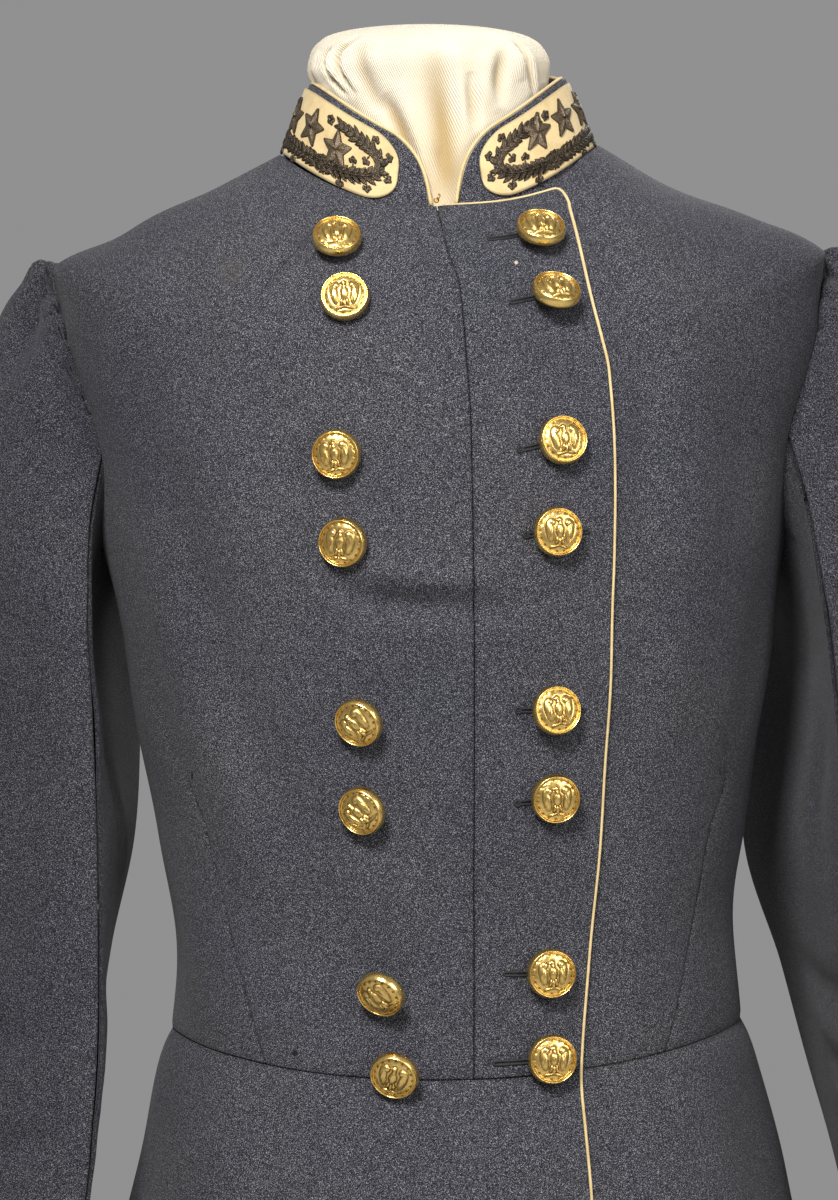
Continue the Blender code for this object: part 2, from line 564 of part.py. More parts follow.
def collar_end(share, across, side):
    """Angle of the collar's rounded front end at a share of its height."""
    cut = COLLAR_SLANT * share + COLLAR_CORNER * (1 - np.sqrt(np.clip(1 - share ** 4, 0, 1)))
    width = 0.074 + (COLLAR_TOP_HALF_WIDTH - 0.074) * share
    return np.degrees(np.arcsin((across + side * cut) / width))


def make_collar():
    share = np.array(COLLAR_ROWS)[:, None]
    right = collar_end(share, COLLAR_END_RIGHT, -1)
    left = collar_end(share, COLLAR_END_LEFT, 1) - 360
    angle = right + (left - right) * np.linspace(0, 1, 33)[None, :]
    add_wall("collar", collar_point(angle, share), COLLAR_CLOTH, "wool", flip=True)


def make_patches():
    """The pale facing patch on each side of the collar, with rounded ends, and its three stars."""
    lift = COLLAR_CLOTH / 2 + LAY_ON_GAP + PATCH_CLOTH / 2
    spread = np.array([0, 0.03, 0.08, 0.16, 0.25, 0.34, 0.43, 0.52, 0.61, 0.70, 0.79, 0.88, 0.95, 0.985, 1.0])
    end = np.clip(np.minimum(spread / 0.16, (1 - spread) / 0.10), 0, 1)
    reach = 0.35 + 0.65 * np.sqrt(1 - (1 - end) ** 2)
    middle, half = (PATCH_LOW + PATCH_HIGH) / 2, (PATCH_HIGH - PATCH_LOW) / 2
    up = np.linspace(-1, 1, 5)[:, None]
    share = middle + half * up * reach[None, :]
    angle = PATCH_FRONT_ANGLE + (PATCH_BACK_ANGLE - PATCH_FRONT_ANGLE) * spread[None, :]
    share, angle = np.broadcast_arrays(share, angle)
    for side, hand in ((-1, "right"), (1, "left")):
        points = collar_point(side * angle, share, lift)
        add_wall(f"collar_patch_{hand}", points, PATCH_CLOTH, "buff", flip=side < 0)
        for number, place in enumerate(STAR_ANGLES, 1):
            make_star(f"star_{hand}_{number}", side * place, lift + PATCH_CLOTH / 2 + 0.0006)


def make_star(name, place, lift):
    """A raised five-pointed star that follows the collar: flat below, ridged above."""
    turn = np.radians(90 + 36 * np.arange(10))
    radius = STAR_RADIUS * np.where(np.arange(10) % 2 == 0, 1, STAR_WAIST)
    across, up = radius * np.cos(turn), radius * np.sin(turn)
    foot, top = collar_bare(place, 0.0), collar_bare(place, 1.0)
    height = float(np.linalg.norm(top - foot))
    width = float(np.linalg.norm(collar_bare(place + 0.5, 0.5) - collar_bare(place - 0.5, 0.5)))
    middle = (PATCH_LOW + PATCH_HIGH) / 2
    angle, share = place + across / width, middle + up / height
    below = collar_point(angle, share, lift)
    above = collar_point(angle, share, lift + STAR_EDGE)
    centre = [collar_point(place, middle, lift), collar_point(place, middle, lift + STAR_HEIGHT)]
    points = np.concatenate([below, above, centre])
    faces = []
    for i in range(10):
        j = (i + 1) % 10
        faces += [(j, i, 20), (i, j, 10 + j, 10 + i), (10 + i, 10 + j, 21)]
    mesh = bpy.data.meshes.new(name)
    mesh.from_pydata(points.tolist(), [], faces)
    add_object(name, mesh, "bullion")


def add_cord(name, points, radius, surface):
    """A round cord through the points."""
    curve = bpy.data.curves.new(name, "CURVE")
    curve.dimensions = "3D"
    curve.bevel_depth = radius
    curve.bevel_resolution = 1
    curve.use_fill_caps = True
    line = curve.splines.new("POLY")
    line.points.add(len(points) - 1)
    for point, place in zip(line.points, points):
        point.co = (*place, 1)
    curve.materials.append(material(surface))
    obj = bpy.data.objects.new(name, curve)
    coat.objects.link(obj)
    return obj


def beside(points, normals, distance):
    """A run of points moved sideways within the surface, to the left of its direction."""
    along = np.gradient(points, axis=0)
    aside = np.cross(normals, along)
    return points + aside / np.linalg.norm(aside, axis=1, keepdims=True) * distance


def make_piping():
    """One pale cord along the top and the free edge of the upper lapel and down the skirt's edge,
    and one along the top and the front ends of the collar."""
    share = np.array([0.06, 0.28, 0.56, 0.84, 0.90, 0.95, 0.98])
    top_level, top_angle = lapel_place(np.full(len(share), 0.999), share, -1)
    side_level, side_angle = lapel_place(BODY_LEVELS[::-1], np.ones(len(BODY_LEVELS)), -1)
    level = np.concatenate([top_level, side_level, skirt_levels()])
    angle = np.concatenate([top_angle, side_angle, edge_angle(skirt_levels())])
    points = beside(body_point(level, angle), body_normal(level, angle), PIPING_RADIUS + LAY_ON_GAP)
    add_cord("front_piping", points, PIPING_RADIUS, "buff")

    share = np.array([0.10, 0.30, 0.50, 0.70, 0.82, 0.90, 0.95, 0.98])
    right = collar_end(share, COLLAR_END_RIGHT, -1)
    left = collar_end(share[::-1], COLLAR_END_LEFT, 1) - 360
    over = np.linspace(right[-1] - 2, left[0] + 2, 44)
    angle = np.concatenate([right, over, left])
    share = np.concatenate([share, np.ones(len(over)), share[::-1]])
    points = beside(collar_point(angle, share), collar_normal(angle, share), -PIPING_RADIUS - LAY_ON_GAP)
    add_cord("collar_piping", points, PIPING_RADIUS, "buff")


def button_mesh():
    """A domed button with a stub of shank, turned about its own axis."""
    mesh = bpy.data.meshes.new("button")
    points = [(r, 0, z) for r, z in BUTTON_PROFILE]
    mesh.from_pydata(points, [(i, i + 1) for i in range(len(points) - 1)], [])
    profile = bpy.data.objects.new("button_profile", mesh)
    bpy.context.scene.collection.objects.link(profile)
    screw = profile.modifiers.new("turn", "SCREW")
    screw.steps = screw.render_steps = BUTTON_SEGMENTS
    screw.use_merge_vertices = True
    screw.merge_threshold = 0.0001
    graph = bpy.context.evaluated_depsgraph_get()
    turned = bpy.data.meshes.new_from_object(profile.evaluated_get(graph))
    turned.name = "button_turned"
    turned.materials.append(material("gilt"))
    turned.shade_smooth()
    bpy.data.objects.remove(profile)
    return turned


def make_buttons():
    mesh = button_mesh()
    for hand, rows in (("right", RIGHT_ROW), ("left", LEFT_ROW)):
        for number, row in enumerate(rows, 1):
            value = dict(zip(BUTTON_COLUMNS, row))
            height, across = value["height"], value["across"]
            for _ in range(3):
                level, angle = front_place(height, across)
                seat, normal = body_point(level, angle, CLOTH / 2), Vector(body_normal(level, angle))
                facing = normal.copy()
                facing.rotate(Matrix.Rotation(math.radians(value["lean"]), 3, "X")
                              @ Matrix.Rotation(math.radians(value["turn"]), 3, "Z"))
                tip = normal.angle(facing)
                on_shank = SHANK_REACH * math.cos(tip) + SHANK_RADIUS * math.sin(tip) + SHANK_GAP
                on_rim = BUTTON_RADIUS * math.sin(tip) + RIM_GAP
                lift = max(on_shank, on_rim)
                centre = Vector(seat) + normal * lift + facing * BUTTON_PROFILE[0][1] / 2
                height += value["height"] - centre.z
                across += value["across"] - centre.x
            button = add_object(f"button_{hand}_{number}", mesh, "gilt")
            button.rotation_euler = facing.to_track_quat("Z", "Y").to_euler()
            button.location = Vector(seat) + normal * lift


def form_gap(level, angle):
    """The form carries the coat on its shoulders and stands clear of it elsewhere."""
    on_top = ease((level - 0.80) / 0.06) * ease((0.985 - level) / 0.02)
    at_side = ease((np.sin(np.radians(angle)) ** 2 - 0.35) / 0.3)
    return -(FORM_BODY_GAP + (FORM_SHOULDER_GAP - FORM_BODY_GAP) * on_top * at_side)


def make_form():
    """A torso from hips to neck, closed at the arms, with a smooth neck."""
    angle = np.linspace(0, 360, FORM_SEGMENTS, endpoint=False)
    turn = np.radians(angle)
    rings = []
    for height, half in HIP_RINGS:
        rings.append(np.column_stack([half * np.sin(turn), -half * HIP_DEPTH * np.cos(turn),
                                      np.full(FORM_SEGMENTS, height)]))
    for level in (0.03, 0.14, 0.28, 0.42, 0.55, 0.68, 0.77, *SHOULDER_LEVELS[:-1], 0.985):
        rings.append(body_point(np.full(FORM_SEGMENTS, level), angle, form_gap(level, angle)))
    for height, half, front, back in NECK_RINGS:
        middle = (front + back) / 2
        rings.append(np.column_stack([half * np.sin(turn), middle - (back - front) / 2 * np.cos(turn),
                                      np.full(FORM_SEGMENTS, height)]))
    points = np.array(rings)
    count, index = len(rings), np.arange(len(rings) * FORM_SEGMENTS).reshape(len(rings), FORM_SEGMENTS)
    after = np.roll(index, -1, axis=1)
    faces = np.stack([index[:-1], after[:-1], after[1:], index[1:]], -1).reshape(-1, 4).tolist()
    faces += [index[0][::-1].tolist(), index[count - 1].tolist()]
    mesh = bpy.data.meshes.new("form_torso")
    mesh.from_pydata(points.reshape(-1, 3).tolist(), [], faces)
    mesh.shade_smooth()
    add_object("form_torso", mesh, "cotton")


def make_stand():
    """A round base on the floor and a pole that carries the torso."""
    bpy.ops.mesh.primitive_cylinder_add(vertices=40, radius=BASE_RADIUS, depth=BASE_THICKNESS,
                                        location=(0, 0, BASE_THICKNESS / 2))
    take_primitive("stand_base", "steel")
    rim = bpy.data.objects["stand_base"].modifiers.new("rim", "BEVEL")
    rim.width, rim.segments, rim.angle_limit = 0.002, 1, math.radians(60)
    low, high = BASE_THICKNESS + 0.0003, FORM_BOTTOM - 0.0003
    bpy.ops.mesh.primitive_cylinder_add(vertices=20, radius=POLE_RADIUS, depth=high - low,
                                        location=(0, 0, (low + high) / 2))
    take_primitive("stand_pole", "steel")


def take_primitive(name, surface):
    """Names the primitive just added, gives it its material and moves it to the coat's collection."""
    obj = bpy.context.object
    obj.name = obj.data.name = name
    obj.data.materials.append(material(surface))
    obj.data.set_sharp_from_angle(angle=math.radians(40))
    for holder in list(obj.users_collection):
        holder.objects.unlink(obj)
    coat.objects.link(obj)


for old in list(bpy.data.objects):
    bpy.data.objects.remove(old)
coat = bpy.data.collections.new("frock_coat")
bpy.context.scene.collection.children.link(coat)
make_bodice()
make_lapels()
make_skirts()
make_sleeves()
make_collar()
make_patches()
make_piping()
make_buttons()
make_form()
make_stand()
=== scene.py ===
import math
import bpy
import numpy as np
from mathutils import Matrix, Vector


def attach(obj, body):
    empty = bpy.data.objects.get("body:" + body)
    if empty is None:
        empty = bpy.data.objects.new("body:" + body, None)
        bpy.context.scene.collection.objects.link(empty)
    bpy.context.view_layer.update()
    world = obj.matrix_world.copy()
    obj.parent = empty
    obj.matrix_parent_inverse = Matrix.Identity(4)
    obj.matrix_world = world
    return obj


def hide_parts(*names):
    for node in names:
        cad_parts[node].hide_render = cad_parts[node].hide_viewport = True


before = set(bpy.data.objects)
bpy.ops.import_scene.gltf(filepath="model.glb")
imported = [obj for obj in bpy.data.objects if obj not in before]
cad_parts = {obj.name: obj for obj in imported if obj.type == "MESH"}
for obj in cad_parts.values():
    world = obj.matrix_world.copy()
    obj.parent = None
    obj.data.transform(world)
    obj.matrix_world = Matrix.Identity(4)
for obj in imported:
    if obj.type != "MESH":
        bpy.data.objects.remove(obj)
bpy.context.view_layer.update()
print("the packed coat is loaded")

view = {"place": (-0.0134, -3.1, 1.221), "roll": -1.15, "lens": 196.8, "sensor": 36.0}


def makeCamera():
    lens = bpy.data.cameras.new("camera")
    lens.lens, lens.sensor_width, lens.sensor_fit = view["lens"], view["sensor"], "AUTO"
    camera = bpy.data.objects.new("camera", lens)
    camera.matrix_world = (Matrix.Translation(view["place"]) @ Matrix.Rotation(math.radians(90), 4, "X")
                           @ Matrix.Rotation(math.radians(view["roll"]), 4, "Z"))
    bpy.context.scene.collection.objects.link(camera)
    bpy.context.scene.camera = camera


makeCamera()


# a Wire is a node's output that can be added, multiplied and taken from a number
class Wire:
    def __init__(self, finish, socket):
        self.finish, self.socket = finish, socket

    def maths(self, operation, other=0.0, swapped=False):
        pair = (other, self) if swapped else (self, other)
        return self.finish.add("ShaderNodeMath", {"operation": operation}, {0: pair[0], 1: pair[1]})

    def __add__(self, other):
        return self.maths("ADD", other)

    def __rsub__(self, other):
        return self.maths("SUBTRACT", other, True)

    def __mul__(self, other):
        return self.maths("MULTIPLY", other)

    def between(self, low, high):      # 0 below low, 1 above high
        return self.finish.add("ShaderNodeMapRange", {"clamp": True}, {0: self, 1: low, 2: high})


class Finish:
    def __init__(self, name, **fixed):
        self.made = bpy.data.materials.new(name)
        self.made.use_nodes = True
        self.tree = self.made.node_tree
        self.shader = self.tree.nodes["Principled BSDF"]
        for words, value in fixed.items():
            self.shader.inputs[words.replace("_", " ")].default_value = value

    def add(self, kind, settings=None, values=None, out=0):    # any node: its settings, then its sockets
        node = self.tree.nodes.new(kind)
        for word, value in (settings or {}).items():
            if word == "stops":
                for place, colour in value[2:]:
                    node.color_ramp.elements.new(place)
                for stop, (place, colour) in zip(node.color_ramp.elements, sorted(value)):
                    stop.position, stop.color = place, (*colour, 1)
            else:
                setattr(node, word, value)
        for socket, value in (values or {}).items():
            self.join(node.inputs[socket], value)
        return Wire(self, node.outputs[out])

    def join(self, socket, value):
        if isinstance(value, Wire):
            self.tree.links.new(value.socket, socket)
        elif isinstance(value, tuple) and socket.type == "RGBA":
            socket.default_value = (*value, 1)
        else:
            socket.default_value = value

    def give(self, socket, value):
        self.join(self.shader.inputs[socket], value)

    def place(self, scale=(1, 1, 1), turn=(0, 0, 0)):     # Object coordinates, turned and stretched
        spot = self.add("ShaderNodeTexCoord", out="Object")
        return self.add("ShaderNodeMapping", {}, {"Vector": spot, "Scale": scale, "Rotation": turn})

    def cloth(self, name="cut"):      # the piece's own map, in metres along its width and length
        return self.add("ShaderNodeUVMap", {"uv_map": name})

    def mark(self, name):
        return self.add("ShaderNodeAttribute", {"attribute_name": name}, out="Fac")

    def noise(self, where, scale, detail=2.0, rough=0.5):
        return self.add("ShaderNodeTexNoise", {}, {"Vector": where, "Scale": scale, "Detail": detail,
                                                   "Roughness": rough})

    def mix(self, share, first, second, how="MIX"):     # colours
        node = self.tree.nodes.new("ShaderNodeMix")
        node.data_type, node.blend_type = "RGBA", how
        for socket, value in ((node.inputs[0], share), (node.inputs[6], first), (node.inputs[7], second)):
            self.join(socket, value)
        return Wire(self, node.outputs[2])

    def bump(self, height, distance, strength=1.0):
        return self.add("ShaderNodeBump", {}, {"Height": height, "Distance": distance, "Strength": strength})


wool = {"dark": (0.0026, 0.0026, 0.0037), "middle": (0.0280, 0.0275, 0.0350), "light": (0.290, 0.287, 0.313),
        # painted shade: the sides and sleeves get a darker tone (deep) than the front, as less light falls there,
        # from this distance to that
        "sideShadeFrom": (0.095, 0.19), "deep": (0.66, 0.66, 0.67), "warm": (1.05, 1.03, 1.00), "cool": (0.86, 0.87, 0.93),
        # seam: the colour of the painted shade along seams and dart grooves
        "seam": (0.004, 0.004, 0.005), "grain": 2500.0, "patch": 9.0, "bump": 0.00035,
        # worn spots: place, radius where it ends, how strong, colour
        "spots": (((0.0342, -0.1045, 1.3747), 0.0013, 0.95, (0.56, 0.47, 0.33)),
                  ((-0.0968, -0.0960, 1.3747), 0.0080, 0.30, (0.062, 0.054, 0.044)),
                  ((-0.0745, -0.0980, 1.0147), 0.0016, 0.90, (0.004, 0.004, 0.004)))}


def woolFinish():
    made = Finish("heather wool", Roughness=0.92, Sheen_Weight=0.06, Sheen_Roughness=0.5,
                  Specular_IOR_Level=0.15)
    grain = wool["grain"]
    across = made.noise(made.place((1, 1, 0.75)), grain, 2.0, 0.7)
    along = made.noise(made.place((0.8, 0.8, 1), (0.2, -0.5, 0)), grain * 1.1, 2.0, 0.65)
    soft = made.noise(made.place(), wool["patch"], 3.0, 0.6)
    tone = made.mix(across.between(0.40, 0.57), wool["dark"], wool["middle"])
    tone = made.mix(along.between(0.54, 0.66), tone, wool["light"])
    tint = made.mix(soft.between(0.32, 0.68), wool["warm"], wool["cool"])
    tone = made.mix(1.0, tone, tint, "MULTIPLY")
    # painted shade: the colour darkens with the distance sideways from the middle
    aside = made.add("ShaderNodeSeparateXYZ", {}, {0: made.place()}).maths("ABSOLUTE")
    tone = made.mix(aside.between(*wool["sideShadeFrom"]), tone, wool["deep"], "MULTIPLY")
    for place, radius, strength, colour in wool["spots"]:     # flattened, so the depth hardly counts
        far = made.add("ShaderNodeVectorMath", {"operation": "DISTANCE"},
                       {0: made.place((1, 0.08, 1)), 1: (place[0], place[1] * 0.08, place[2])}, "Value")
        tone = made.mix(far.between(radius, radius * 0.6) * strength, tone, colour)
    # painted shade: darker along the seams and the dart grooves
    tone = made.mix(made.mark("seam") * 0.45, tone, wool["seam"])
    made.give("Base Color", tone)
    made.give("Normal", made.bump(across + along, wool["bump"], 0.6))
    return made.made


felt = {"pale": (0.63, 0.480, 0.245), "stain": (0.40, 0.27, 0.11), "shade": (0.42, 0.31, 0.15),
        # seam: the colour of the painted shade along the patch's edges
        "seam": (0.16, 0.12, 0.07), "grain": 1500.0, "patch": 90.0}


def feltFinish():
    made = Finish("buff felt", Roughness=0.92, Sheen_Weight=0.2, Specular_IOR_Level=0.2)
    fibre = made.noise(made.place((1, 1, 0.6)), felt["grain"], 2.0, 0.6)
    soil = made.noise(made.place(), felt["patch"], 3.0, 0.6)
    tone = made.mix(soil.between(0.45, 0.75) * 0.55, felt["pale"], felt["stain"])
    tone = made.mix(fibre.between(0.4, 0.7) * 0.25, tone, felt["shade"])
    # painted shade: darker along the patch's edges
    made.give("Base Color", made.mix(made.mark("seam") * 0.6, tone, felt["seam"]))
    made.give("Normal", made.bump(fibre, 0.0003, 0.6))
    return made.made


thread = {"dark": (0.026, 0.018, 0.013), "middle": (0.105, 0.076, 0.048), "star": (0.20, 0.145, 0.090),
          # hollow: the colour of painted shade between and under the raised threads
          "hollow": (0.012, 0.009, 0.007), "glint": (0.46, 0.37, 0.23), "wrap": 2200.0, "age": 260.0}


def threadFinish():
    made = Finish("tarnished metal thread", Metallic=0.75, Roughness=0.42)
    wrap = made.noise(made.place(), thread["wrap"], 1.0, 0.5)
    age = made.noise(made.place(), thread["age"], 3.0, 0.6)
    tone = made.mix(age.between(0.3, 0.7), thread["dark"], thread["middle"])
    tone = made.mix(made.mark("star") * 0.55, tone, thread["star"])
    # painted shade: darker along leaf outlines and grooves, on the ground band and at the stars' edges
    tone = made.mix(made.mark("hollow") * 0.8, tone, thread["hollow"])
    made.give("Base Color", made.mix(wrap.between(0.60, 0.78), tone, thread["glint"]))
    made.give("Roughness", wrap.between(0.3, 0.7) * 0.25 + 0.3)
    made.give("Normal", made.bump(wrap, 0.0004, 0.8))
    return made.made


gilt = {"bright": (0.94, 0.66, 0.22), "brown": (0.16, 0.075, 0.015), "age": 420.0, "scratch": 2600.0}


def giltFinish():
    made = Finish("gilt", Metallic=1.0, Roughness=0.25)
    age = made.noise(made.place(), gilt["age"], 3.0, 0.6)
    hollow = made.mark("hollow")
    worn = (hollow * 0.95 + age.between(0.5, 0.8) * 0.15).between(0.0, 1.0)
    tone = made.mix(worn, gilt["bright"], gilt["brown"])
    made.give("Base Color", tone)
    made.give("Roughness", hollow * 0.25 + age.between(0.35, 0.7) * 0.12 + 0.2)
    made.give("Normal", made.bump(made.noise(made.place(), gilt["scratch"], 1.0, 0.5), 0.0001, 0.35))
    return made.made


# hollow: the colour of painted shade in the cover's folds, also laid on towards the bottom and in the rib valleys
cotton = {"pale": (0.82, 0.745, 0.60), "deep": (0.77, 0.68, 0.51), "hollow": (0.42, 0.30, 0.14), "patch": 40.0,
          "steep": 0.34, "rib": 0.00118, "ribShade": 0.34}     # steep: how far the ribs lean for each metre up


def cottonFinish():
    made = Finish("cream twill", Roughness=0.88, Sheen_Weight=0.15, Specular_IOR_Level=0.25)
    way = made.add("ShaderNodeSeparateXYZ", {}, {0: made.cloth()})
    up = Wire(made, way.socket.node.outputs[1])
    ribs = ((way + up * cotton["steep"]) * (2 * math.pi / cotton["rib"])).maths("SINE") * 0.5 + 0.5
    soft = made.noise(made.place(), cotton["patch"], 3.0, 0.6)
    tone = made.mix(soft.between(0.35, 0.75), cotton["pale"], cotton["deep"])
    # painted shade: darker in the fold troughs and towards the bottom by the collar
    tone = made.mix(made.mark("hollow"), tone, cotton["hollow"])
    # painted shade of the twill: the valleys between the ribs are darker
    made.give("Base Color", made.mix((1 - ribs) * cotton["ribShade"], tone, cotton["hollow"]))
    made.give("Normal", made.bump(ribs, 0.0004, 0.8))
    return made.made


steel = {"paint": (0.17, 0.17, 0.18), "worn": (0.23, 0.23, 0.235), "skin": 500.0, "patch": 25.0}


def steelFinish():
    made = Finish("grey painted steel", Roughness=0.4, Coat_Weight=0.2)
    skin = made.noise(made.place(), steel["skin"], 2.0, 0.5)
    worn = made.noise(made.place(), steel["patch"], 4.0, 0.6)
    made.give("Base Color", made.mix(worn.between(0.5, 0.75) * 0.5, steel["paint"], steel["worn"]))
    made.give("Roughness", worn.between(0.3, 0.7) * 0.15 + 0.32)
    made.give("Normal", made.bump(skin, 0.0002, 0.3))
    return made.made


silk = {"dark": (0.006, 0.006, 0.008), "light": (0.035, 0.034, 0.036), "twist": 2400.0}


def silkFinish():
    made = Finish("dark buttonhole thread", Roughness=0.6, Specular_IOR_Level=0.3)
    twist = made.noise(made.place(), silk["twist"], 1.0, 0.5)
    made.give("Base Color", made.mix(twist.between(0.4, 0.7), silk["dark"], silk["light"]))
    made.give("Normal", made.bump(twist, 0.0002, 0.8))
    return made.made


brass = {"bright": (0.55, 0.36, 0.12), "brown": (0.16, 0.09, 0.03), "age": 700.0}


def brassFinish():
    made = Finish("old brass", Metallic=1.0, Roughness=0.38)
    age = made.noise(made.place(), brass["age"], 3.0, 0.6)
    made.give("Base Color", made.mix(age.between(0.35, 0.7), brass["bright"], brass["brown"]))
    return made.made


finish = {"wool": woolFinish(), "buff": feltFinish(), "bullion": threadFinish(), "gilt": giltFinish(),
          "cotton": cottonFinish(), "steel": steelFinish(), "silk": silkFinish(), "brass": brassFinish()}
print("finishes made")

# lengths are in metres; level is 0 at the waist, 1 at the neck and -1 at the hem; angle is 0 in front and 90 at
# the wearer's left; side is -1 for the wearer's right and 1 for the left
sides = ((-1, "Right"), (1, "Left"))
allEdges = ("first", "last", "foot", "head")
clothes = {"wool": 0.0020, "collar": 0.0026, "patch": 0.0010, "seamGap": 0.0006, "creaseGap": 0.0007,
           "underDrop": 0.0029, "layOnGap": 0.0004, "seamShadeWidth": 0.0006, "seamDip": 0.0004, "seamWidth": 0.0015,
           "waistDip": 0.0006, "waistWidth": 0.002}
coatForm = {
    "columns": ("level", "halfWidth", "front", "back", "middle", "frontHeight", "sideHeight", "backHeight",
                "square", "climb"),
    "rows": (
        (-1.000, 0.2400, -0.1850, 0.2150, 0.000, 0.505, 0.500, 0.497, 0.00, 2.2),
        (-0.810, 0.2210, -0.1710, 0.2000, 0.000, 0.601, 0.599, 0.597, 0.00, 2.2),
        (-0.620, 0.2030, -0.1580, 0.1830, 0.000, 0.699, 0.698, 0.697, 0.01, 2.2),
        (-0.425, 0.1840, -0.1440, 0.1630, 0.000, 0.797, 0.800, 0.800, 0.01, 2.2),
        (-0.330, 0.1740, -0.1370, 0.1500, 0.000, 0.845, 0.850, 0.850, 0.01, 2.2),
        (-0.233, 0.1635, -0.1290, 0.1360, 0.000, 0.893, 0.900, 0.900, 0.02, 2.2),
        (-0.162, 0.1553, -0.1225, 0.1250, 0.000, 0.927, 0.937, 0.937, 0.02, 2.2),
        (-0.118, 0.1503, -0.1195, 0.1170, 0.000, 0.947, 0.960, 0.960, 0.02, 2.2),
        (-0.055, 0.1420, -0.1145, 0.1050, 0.000, 0.976, 0.993, 0.993, 0.03, 2.2),
        (-0.020, 0.1370, -0.1115, 0.0980, 0.000, 0.992, 1.011, 1.012, 0.03, 2.2),
        (0.000, 0.1330, -0.1100, 0.0920, 0.000, 1.002, 1.0215, 1.022, 0.03, 2.2),
        (0.100, 0.1310, -0.1100, 0.0930, 0.000, 1.048, 1.062, 1.062, 0.03, 2.2),
        (0.250, 0.1370, -0.1140, 0.1000, 0.002, 1.105, 1.115, 1.118, 0.03, 2.2),
        (0.400, 0.1480, -0.1190, 0.1080, 0.004, 1.165, 1.172, 1.178, 0.03, 2.2),
        (0.550, 0.1575, -0.1230, 0.1140, 0.006, 1.228, 1.235, 1.245, 0.03, 2.2),
        (0.680, 0.1680, -0.1215, 0.1150, 0.009, 1.283, 1.300, 1.308, 0.01, 2.6),
        (0.800, 0.1860, -0.1140, 0.1100, 0.010, 1.338, 1.3805, 1.368, -0.04, 3.6),
        (0.880, 0.1474, -0.1060, 0.1030, 0.008, 1.360, 1.3955, 1.394, -0.01, 2.6),
        (0.940, 0.1137, -0.0930, 0.0880, 0.003, 1.380, 1.411, 1.417, 0.02, 2.2),
        (1.000, 0.0745, -0.0720, 0.0535, -0.005, 1.402, 1.4325, 1.446, 0.00, 2.2),
    ),
    "lapelSeam": ((1.002, 0.0072), (1.040, 0.0080), (1.130, 0.0098), (1.220, 0.0116), (1.298, 0.0119),
                  (1.335, 0.0103), (1.362, 0.0082), (1.381, 0.0027), (1.402, -0.0015)),
    "frontEdge": ((0.500, 0.0760), (0.700, 0.0680), (0.850, 0.0620), (0.947, 0.0588), (0.978, 0.0568),
                  (0.999, 0.0554), (1.015, 0.0562), (1.056, 0.0602), (1.101, 0.0652), (1.147, 0.0689),
                  (1.197, 0.0727), (1.242, 0.0755), (1.288, 0.0756), (1.324, 0.0742), (1.338, 0.0718),
                  (1.357, 0.0678), (1.385, 0.0624), (1.402, 0.0588)),
    "dart": {-1: ((1.002, -0.086), (1.0216, -0.0910), (1.056, -0.0995), (1.084, -0.1060), (1.121, -0.1150),
                  (1.1415, -0.1220), (1.250, -0.120), (1.330, -0.101), (1.364, -0.0820), (1.385, -0.0650),
                  (1.403, -0.0485)),
             1: ((1.002, 0.092), (1.018, 0.0980), (1.043, 0.1040), (1.079, 0.1120), (1.111, 0.1190),
                 (1.139, 0.1280), (1.250, 0.125), (1.330, 0.102), (1.361, 0.0840), (1.378, 0.0730),
                 (1.399, 0.0620), (1.414, 0.0540))},
    "dartLevels": {-1: (0.335, 0.845, 0.985), 1: (0.330, 0.855, 0.990)},
    "lapelTopFall": 0.012, "lapelCornerFall": 0.013, "skirtLength": 0.5215,
    "backSeamRow": -45.0, "backSeamFoot": 164.0, "shoulderSeamNeck": 124.0,
    "skirtFolds": ((52, 0.010, 11), (78, -0.008, 10), (100, 0.012, 12), (124, -0.009, 9), (146, 0.014, 8),
                   (160, -0.010, 7)),
    "chestCrease": {"height": 1.222, "across": -0.008, "halfLength": 0.045, "halfWidth": 0.011,
                    "depth": 0.0022},
}


opening = {"level": 0.675, "halfLevel": 0.125, "angle": 101.0, "halfAngle": 25.5}     # the armholes' ovals


def readTable(columns, rows, name, at):     # a cubic through the rows that never overshoots one
    data = np.array(rows, float)
    x, y = data[:, 0], data[:, columns.index(name)]
    if x[0] > x[-1]:
        x, y = x[::-1], y[::-1]
    at = np.clip(np.asarray(at, float), x[0], x[-1])
    step = np.diff(x)
    rise = np.diff(y) / step
    slope = np.zeros(len(x))
    same = rise[:-1] * rise[1:] > 0
    slope[1:-1][same] = 2 * rise[:-1][same] * rise[1:][same] / (rise[:-1] + rise[1:])[same]
    slope[0], slope[-1] = rise[0], rise[-1]
    i = np.clip(np.searchsorted(x, at, side="right") - 1, 0, len(step) - 1)
    t = (at - x[i]) / step[i]
    return (y[i] * (1 + 2 * t) * (1 - t) ** 2 + y[i + 1] * t * t * (3 - 2 * t)
            + step[i] * (slope[i] * t * (1 - t) ** 2 - slope[i + 1] * t * t * (1 - t)))


def ring(name, level):
    return readTable(coatForm["columns"], coatForm["rows"], name, level)


def ease(t):
    t = np.clip(t, 0, 1)
    return t * t * (3 - 2 * t)


def hump(distance, halfWidth):
    return np.exp(-(distance / halfWidth) ** 2)


def unit(ways):
    return ways / np.linalg.norm(ways, axis=-1, keepdims=True)


def circle(count):
    return np.linspace(0, 2 * np.pi, count, endpoint=False)


def distances(points, axis):      # how far each point of a grid lies along its row or column
    size = np.linalg.norm(np.diff(points, axis=axis), axis=-1)
    return np.insert(np.cumsum(size, axis=axis), 0, 0, axis=axis)


def sampled(points, far, at):     # a run's places at given distances along it
    return np.stack([np.interp(at, far, column) for column in points.T], -1)


def evenly(points, step):      # the same run with even spacing
    far = distances(points[None], 1)[0]
    return sampled(points, far, np.linspace(0, far[-1], max(int(far[-1] / step), 3)))


